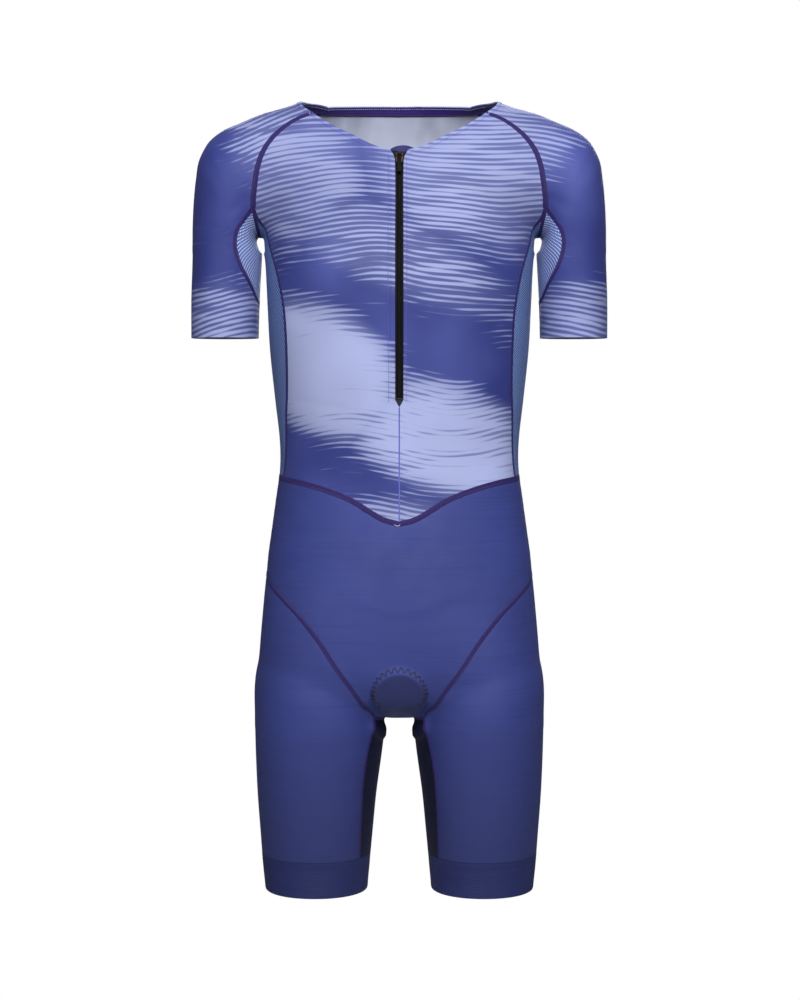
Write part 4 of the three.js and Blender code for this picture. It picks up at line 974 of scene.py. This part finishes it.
band = {"rib": 1.6, "deep": 0.16, "samples": 4, "ribsFrom": -810,
        "outerRise": 11, "thick": 1.3, "hemRound": 1.5}


def addBand(side, right):
    ring = bandRing[:-1]
    rows = int(40 / band["rib"] * band["samples"])
    levels = np.linspace(cloth["bandTop"] - zipper["gap"], cloth["hem"], rows + 1)
    grid = np.broadcast_to(ring, (rows + 1,) + ring.shape).copy()
    grid[..., 2] = levels[:, None]
    grid = settle(grid, level=True, moves=5)
    normals = unit(outward(grid) * [1, 1, 0])
    top = band["ribsFrom"] + band["outerRise"] * smooth(90, 140, grid[..., 0])
    ribs = np.sin(2 * math.pi * grid[..., 2] / band["rib"]) * smooth(2, -2, grid[..., 2] - top)
    hem = np.clip((cloth["hem"] + band["hemRound"] - grid[..., 2]) / band["hemRound"], 0, 1)
    rise = band["deep"] * ribs - 0.5 * hem**2
    outer = grid + normals * rise[..., None]
    inner = grid - normals * (band["thick"] - 0.4 * hem**2)[..., None]
    if right:
        outer, inner = mirrorX(outer), mirrorX(inner)
    points, faces, kind = shell(outer, inner, ring=True)
    uv = np.vstack([uvOf(outer)] * 2)
    piece = finishMesh("band_" + side, points, faces, [finishes["band"], finishes["inside"]],
                       uv, kind)
    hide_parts("leg_band_" + side)
    closed = np.concatenate([outer, outer[:, :1]], 1)
    declareSheet("leg_band_" + side, closed)


for side, right in sides:
    addBand(side, right)
print("bands made")


# Sewing: flat ribbons of thread over the seams, folds at the edges, and rows of stitches

sewing = {"step": 0.9, "sink": 0.3, "rise": 0.5, "ridge": 0.1, "ridgePitch": 3.6,
          "insideRise": 0.35, "clothBack": 0.9, "tip": 0.45}


def gather(parts):  # several closed bodies as one
    starts = np.cumsum([0] + [len(p) for p, _, _ in parts])
    return (np.vstack([p for p, _, _ in parts]),
            np.vstack([f + start for (_, f, _), start in zip(parts, starts)]),
            np.vstack([uv for _, _, uv in parts]))


def stripAlong(run, low, high, across, step):
    count = max(4, int(lengthsAlong(run)[-1] / step))
    line = settle(evenly(run, count), moves=3)
    beside = unit(np.cross(outward(line), unit(np.gradient(line, axis=0))))
    offsets = np.linspace(low, high, across)
    grid = settle(line[:, None] + beside[:, None] * offsets[None, :, None], moves=3)
    u, v = np.meshgrid(lengthsAlong(line), offsets, indexing="ij")
    return grid, outward(grid), u, v


def ribbonBody(run, low, high, rise, under, ridge=0.0, across=7, step=None, faceIn=False):
    grid, normals, u, v = stripAlong(run, low, high, across, step or sewing["step"])
    t = 2 * (v - low) / (high - low) - 1
    hump = rise * np.sqrt(np.maximum(0, 1 - t**4))
    hump += ridge * np.sin(2 * math.pi * (u / sewing["ridgePitch"] + 0.4 * np.abs(t))) * (1 - t**2)
    soft = relief(grid)
    if faceIn:
        outer = grid + normals * (soft - sewing["clothBack"] + under)[..., None]
        inner = grid + normals * (soft - sewing["clothBack"] - hump)[..., None]
    else:
        outer = grid + normals * (soft + hump)[..., None]
        inner = grid + normals * (soft - under)[..., None]
    points, faces, _ = shell(outer, inner)
    return points, faces, np.vstack([np.stack([u, v], -1).reshape(-1, 2)] * 2)


def addRibbon(name, run, wide, finish="thread", rise=sewing["rise"]):
    half = wide / 2
    parts = [ribbonBody(run, -half, half, rise, sewing["sink"], sewing["ridge"]),
             ribbonBody(run, -half, half, sewing["insideRise"], sewing["sink"], 0.0, 5, 2.4, True)]
    points, faces, uv = gather(parts)
    finishMesh("seam_" + name, points, faces, [finishes[finish]], uv)


seamTable = [  # name, run, width
    ("raglan_front", raglanFront, 6.2), ("raglan_back", raglanBack, 6.2), ("armpit", armpit, 3.4),
    ("gusset_front", gussetFront, 4.8), ("gusset_back", gussetBack, 4.8), ("underarm", underarm, 4),
    ("side_front", sideFront, 4), ("side_back", sideBack, 4), ("hip_side", hipSide, 4.4),
    ("hip_front", hipFront, 4.8), ("hip_back", hipBack, 4.8), ("crotch", crotch, 4),
    ("inner_leg_front", innerLegFront, 4), ("inner_leg_back", innerLegBack, 4),
    ("waist_front", waistFront, 6), ("waist_side", waistSide, 6), ("waist_back", waistBack, 6),
]
for side, right in sides:
    for name, run, wide in seamTable:
        addRibbon(f"{name}_{side}", mirrorX(run) if right else run, wide)
addRibbon("belly", bellyRun, 1.4, "stitch", 0.25)
addRibbon("crotch_cross", crotchCross(24), 4)
print("seams sewn")


def rod(path, normals, radius):  # one thread, thinner at its ends
    sides = 8  # as many as its caps have
    along = unit(np.gradient(path, axis=0))
    beside = unit(np.cross(along, normals))
    above = np.cross(beside, along)
    turn = np.linspace(0, 2 * math.pi, sides, endpoint=False)[None, :, None]
    size = np.full(len(path), radius)
    size[0] = size[-1] = radius * sewing["tip"]
    ring = np.cos(turn) * beside[:, None] + np.sin(turn) * above[:, None]
    points = (path[:, None] + size[:, None, None] * ring).reshape(-1, 3)
    cap = np.array([[0, 1, 2, 3], [0, 3, 4, 7], [4, 5, 6, 7]])
    faces = np.vstack([gridFaces(len(path), sides, True), cap, cap[:, ::-1] + (len(path) - 1) * sides])
    return points, turnedOut(points, faces), np.zeros((len(points), 2))


def addStitches(name, run, offset, lift, finish, dash=1.9, gap=0.9, radius=0.28):
    step = (dash + gap) / 6
    grid, normals = stripAlong(run, offset, offset + 0.1, 2, step)[:2]
    line = grid[:, 0] + normals[:, 0] * (relief(grid[:, 0]) + lift)[:, None]
    kept = max(3, round(6 * dash / (dash + gap)) + 1)
    starts = range(0, len(line) - kept + 1, 6)
    parts = [rod(line[k:k + kept], normals[k:k + kept, 0], radius) for k in starts]
    points, faces, uv = gather(parts)
    finishMesh("stitches_" + name, points, faces, [finishes[finish]], uv)


def towards(run, target):  # which way across a run the cloth lies
    middle = len(run) // 2
    beside = np.cross(outward(run)[middle], run[middle + 1] - run[middle])
    return 1 if beside @ (target - run[middle]) > 0 else -1


# Folded neck edge, with a row of stitches

neckFold = {"wide": 4.8, "over": 0.5, "rise": 0.45, "inside": 1.5, "stitch": 3.4, "tapeWide": 10.2}


def addFold(name, run, target, finish):
    way = towards(run, target)
    low, high = sorted((-way * neckFold["over"], way * neckFold["wide"]))
    body = ribbonBody(run, low, high, neckFold["rise"], neckFold["inside"], 0.0, 9, 1.6)
    finishMesh("fold_" + name, body[0], body[1], [finishes[finish]], body[2])
    addStitches(name, run, way * neckFold["stitch"], 0.42, "stitch")


def addNeck():
    for side, right in sides:
        turn = mirrorX if right else (lambda run: run)
        addFold("neck_front_" + side, turn(neckFront), turn(panels["front"][6, len(neckFront) // 2]),
                "front")
        addFold("neck_side_" + side, turn(neckSide), turn(panels["sleeve"][6, len(neckSide) // 2]),
                "sleeve")
    wholeBack = acrossBoth(neckBack[::-1])
    target = panels["back"][6, len(wholeBack) // 2]
    addFold("neck_back", wholeBack, target, "back")
    half = chain(neckBack[::-1], neckSide[len(neckSide) // 2:][::-1])
    run = acrossBoth(half)
    way = towards(run, target)
    low, high = sorted((0.0, way * neckFold["tapeWide"]))
    grid, normals, u, v = stripAlong(run, low, high, 10, 1.6)
    near = normals * (relief(grid) - 1.6)[..., None]
    outer, inner = grid + near, grid + near - normals * 0.9
    points, faces, _ = shell(outer, inner)
    uv = np.vstack([np.stack([u, v], -1).reshape(-1, 2)] * 2)
    piece = finishMesh("tape_neck", points, faces, [finishes["tape"]], uv)
    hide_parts("neck_tape")
    declareSheet("neck_tape", outer, "laid")
    addStitches("tape_top", run, way * 2.0, -2.6, "paleStitch", 1.0, 1.1, 0.3)
    addStitches("tape_foot", run, way * 9.4, -2.6, "redStitch", 1.0, 1.1, 0.28)


addNeck()
print("neck made")


def addThreadEnd():  # the small pale thread at the point of the waist
    t = np.linspace(0, 1, 14)
    line = settle(np.stack([6.4 * t - 5.2, np.full(14, -96.0), -436.0 - 1.6 * np.sin(math.pi * t)], -1))
    normals = outward(line)
    path = line + normals * (relief(line) + 0.8)[:, None]
    points, faces, uv = rod(path, normals, 0.3)
    finishMesh("stitches_waist_point", points, faces, [finishes["paleStitch"]], uv)


addThreadEnd()


# Zip: tapes, coil, guard, folded edges and their stitches

zipLook = {"toothPitch": 1.2, "toothReach": 2.3, "toothRadius": 0.42, "toothDepth": 1.1,
           "foldWide": 4.6, "rightStitch": -11.2, "leftStitch": 7.3, "bar": 9}


def onZip(xs, levels):
    z, x = np.meshgrid(levels, xs, indexing="ij")
    grid = settle(np.stack([x, np.full(x.shape, -100.0), z], -1), level=True)
    return grid, outward(grid)


def zipSheet(name, node, finish, xs, levels, near, far, arch=0.0):
    grid, normals = onZip(xs, levels)
    across = (np.array(xs) - xs[0]) / (xs[-1] - xs[0]) * 2 - 1
    high = smooth(levels[0] - 12, levels[0], np.array(levels))
    grid[..., 2] += arch * high[:, None] * (1 - across**2)[None]
    outer, inner = grid - normals * near, grid - normals * far
    points, faces, _ = shell(outer, inner)
    uv = np.vstack([uvOf(outer)] * 2)
    piece = finishMesh(name, points, faces, [finishes[finish]], uv)
    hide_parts(node)
    declareSheet(node, outer, "laid")


def addTeeth():  # each turn of the coil shows as a short rod from past the middle to one side
    levels = np.arange(zipper["funnel"] - 3, zipper["end"], -zipLook["toothPitch"] / 2)
    reach = np.array([-0.5, 0.3, 1.1, 1.8, zipLook["toothReach"]])
    lean = np.array([0.25, 0.1, 0, -0.1, -0.25])[:, None] * [0, 0, 1]
    parts = []
    for start, way in ((0, 1), (1, -1)):
        grid, normals = onZip(reach * way, levels[start::2])
        for points, facing in zip(grid, normals):
            path = points - facing * zipLook["toothDepth"] + lean
            parts.append(rod(path, facing, zipLook["toothRadius"]))
    points, faces, uv = gather(parts)
    piece = finishMesh("zip_teeth", points, faces, [finishes["coil"]], uv)
    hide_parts("zip_coil")


def addZip():
    z = zipper
    levels = np.linspace(z["top"], z["end"], 90)
    tapeNear = z["wall"] + z["gap"]
    for side, way in (("left", 1), ("right", -1)):
        xs = sorted(way * x for x in (0.15, 2.5, 5, 8, z["tapeWide"]))
        zipSheet("tape_zip_" + side, "zip_tape_" + side, "zipTape", xs, levels,
                 tapeNear, tapeNear + z["tapeThick"])
    guardNear = tapeNear + z["tapeThick"] + z["gap"]
    xs = list(np.linspace(z["guardRight"], z["guardLeft"], 17))
    zipSheet("guard_zip", "zip_guard", "guard", xs, levels, guardNear,
             guardNear + z["guardThick"], z["guardRise"])
    addTeeth()
    for side, right in sides:
        run = mirrorX(zipRun) if right else zipRun
        sign = -1 if right else 1
        way = towards(run, run[len(run) // 2] + np.array([sign * 10.0, 0, 0]))
        low, high = sorted((-way * 0.3, way * zipLook["foldWide"]))
        body = ribbonBody(run, low, high, 0.4, 1.6, 0.0, 9, 1.8)
        finishMesh("fold_zip_" + side, body[0], body[1], [finishes["front"]], body[2])
        line = onZip([zipLook[side + "Stitch"]], np.linspace(z["funnel"], z["end"] - 2, 80))[0][:, 0]
        addStitches("zip_" + side, line, 0, 0.5, "stitch")
    bar = onZip(np.linspace(-zipLook["bar"] / 2, zipLook["bar"] / 2, 12), [z["end"] + 1])[0][0]
    addStitches("zip_end", bar, 0, 0.4, "darkStitch", 8, 0.6, 0.5)


addZip()
print("zip made")


# The slider and its pull keep the solids' form, with rounded edges

def refine(node, name, finish, body, width):
    piece = bpy.data.objects.new(name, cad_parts[node].data.copy())
    bpy.context.scene.collection.objects.link(piece)
    bpy.ops.object.select_all(action="DESELECT")
    piece.select_set(True)
    bpy.context.view_layer.objects.active = piece
    bpy.ops.object.mode_set(mode="EDIT")
    bpy.ops.mesh.select_all(action="SELECT")
    bpy.ops.mesh.remove_doubles(threshold=0.000001)
    bpy.ops.mesh.dissolve_limited(angle_limit=math.radians(2))
    bpy.ops.object.mode_set(mode="OBJECT")
    modifier = piece.modifiers.new("round", "BEVEL")
    modifier.width = width * mm
    modifier.segments = 3
    modifier.limit_method = "ANGLE"
    modifier.angle_limit = math.radians(40)
    bpy.ops.object.modifier_apply(modifier=modifier.name)
    bpy.ops.object.shade_smooth_by_angle(angle=math.radians(35))
    piece.data.materials.clear()
    piece.data.materials.append(finishes[finish])
    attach(piece, body)
    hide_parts(node)


refine("zip_slider", "slider", "bronze", "garment", 0.22)
refine("zip_pull", "pull_tab", "tab", "pull", 0.2)
print("slider and pull made")


# Seat pad: at, half width, y, z from its round front to its wide back

padRows = [(0, 9, -97, -584), (0.06, 19, -95, -589), (0.14, 26, -88, -602), (0.24, 26, -72, -624),
           (0.34, 20, -46, -640), (0.45, 15, -18, -642), (0.56, 15, 14, -642), (0.68, 22, 48, -640),
           (0.8, 40, 80, -622), (0.92, 46, 100, -596), (1, 34, 108, -578)]
pad = {"near": 2.2, "thick": 6.2, "rows": 90, "across": 36, "channelAt": 0.42, "channel": 1.6}


def addPad():
    half, y, z = tableAt(padRows, np.linspace(0, 1, pad["rows"] + 1))
    t = np.linspace(-1, 1, pad["across"] + 1)
    grid = settle(np.stack(np.broadcast_arrays(half[:, None] * t, y[:, None], z[:, None]), -1))
    normals = outward(grid)
    v = np.linspace(-1, 1, pad["rows"] + 1)[:, None]
    crown = np.sqrt(np.maximum(0, (1 - t**6)[None] * (1 - v**12)))
    groove = np.exp(-((np.abs(t) - pad["channelAt"]) / 0.07) ** 2)[None]
    far = pad["near"] + 0.4 + pad["thick"] * crown - pad["channel"] * groove * crown
    points, faces, _ = shell(grid - normals * pad["near"], grid - normals * far[..., None])
    piece = finishMesh("pad_seat", points, faces, [finishes["pad"]],
                       np.vstack([uvOf(grid)] * 2))
    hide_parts("seat_pad")


def addPadStitches():
    frontTurns = np.radians(np.linspace(-38, 218, 620))
    backTurns = np.radians(np.linspace(-62, 242, 900))
    rings = (("front", frontTurns, padStitch["radius"], padStitch["radius"], padStitch["z"], -95),
             ("back", backTurns, 46, 34, -604, 108))
    for name, turns, wide, high, level, y in rings:
        length = turns * (wide + high) / 2
        swing = padStitch["swing"] * np.sin(2 * math.pi * length / padStitch["pitch"])
        x, z = (wide + swing) * np.cos(turns), level + (high + swing) * np.sin(turns)
        line = settle(np.stack([x, np.full(x.shape, float(y)), z], -1))
        normals = outward(line)
        path = line + normals * (relief(line) + padStitch["rise"])[:, None]
        points, faces, uv = rod(path, normals, padStitch["thread"])
        finishMesh("pad_stitches_" + name, points, faces, [finishes["darkStitch"]], uv)


addPad()
addPadStitches()
print("seat pad made")


# Studio

studio = {"floor": -1300, "floorHalf": 1000, "ambient": 0.11,
          "lamps": [  # name, place and size in metres, watts
              ("key", (0.45, -2.3, 1.05), (0.9, 1.0), 72), ("fill", (-0.5, -2.4, 0.7), (0.9, 1.0), 36),
              ("top", (0, -0.5, 1.5), (0.9, 0.6), 8), ("behind", (0.3, 2.6, 0.6), (1.6, 1.6), 62),
          ]}


def addLamp(name, place, size, power):
    data = bpy.data.lights.new(name, "AREA")
    data.shape = "RECTANGLE"
    data.size, data.size_y = size
    data.energy = power
    lamp = bpy.data.objects.new(name, data)
    bpy.context.scene.collection.objects.link(lamp)
    lamp.location = place
    aim = Vector((0, 0, -0.42)) - Vector(place)
    lamp.rotation_euler = aim.to_track_quat("-Z", "Y").to_euler()


def addWorld():
    world = bpy.data.worlds.new("studio")
    world.use_nodes = True
    tree = world.node_tree
    tree.nodes.clear()
    path, mix, out = (tree.nodes.new("ShaderNode" + kind)
                      for kind in ("LightPath", "MixShader", "OutputWorld"))
    tree.links.new(path.outputs["Is Camera Ray"], mix.inputs[0])
    for slot, strength in ((1, studio["ambient"]), (2, 1.0)):
        light = tree.nodes.new("ShaderNodeBackground")
        light.inputs["Color"].default_value = (1, 1, 1, 1)
        light.inputs["Strength"].default_value = strength
        tree.links.new(light.outputs[0], mix.inputs[slot])
    tree.links.new(mix.outputs[0], out.inputs[0])
    bpy.context.scene.world = world
    bpy.context.scene.view_settings.view_transform = "Standard"


def addFloor():
    bpy.ops.object.select_all(action="DESELECT")
    bpy.ops.mesh.primitive_circle_add(vertices=96, radius=studio["floorHalf"] * mm, fill_type="NGON",
                                      location=(0, 0, studio["floor"] * mm))
    floor = bpy.context.object
    floor.name = "floor"
    bpy.ops.object.transform_apply(location=True, rotation=False, scale=False)
    floor.data.materials.append(plainMaterial("pale_floor", (238, 238, 240), 0.8))


addFloor()
addWorld()
for lamp in studio["lamps"]:
    addLamp(*lamp)
print("studio lit")
for row in flatSizes:
    print("cut", *row)
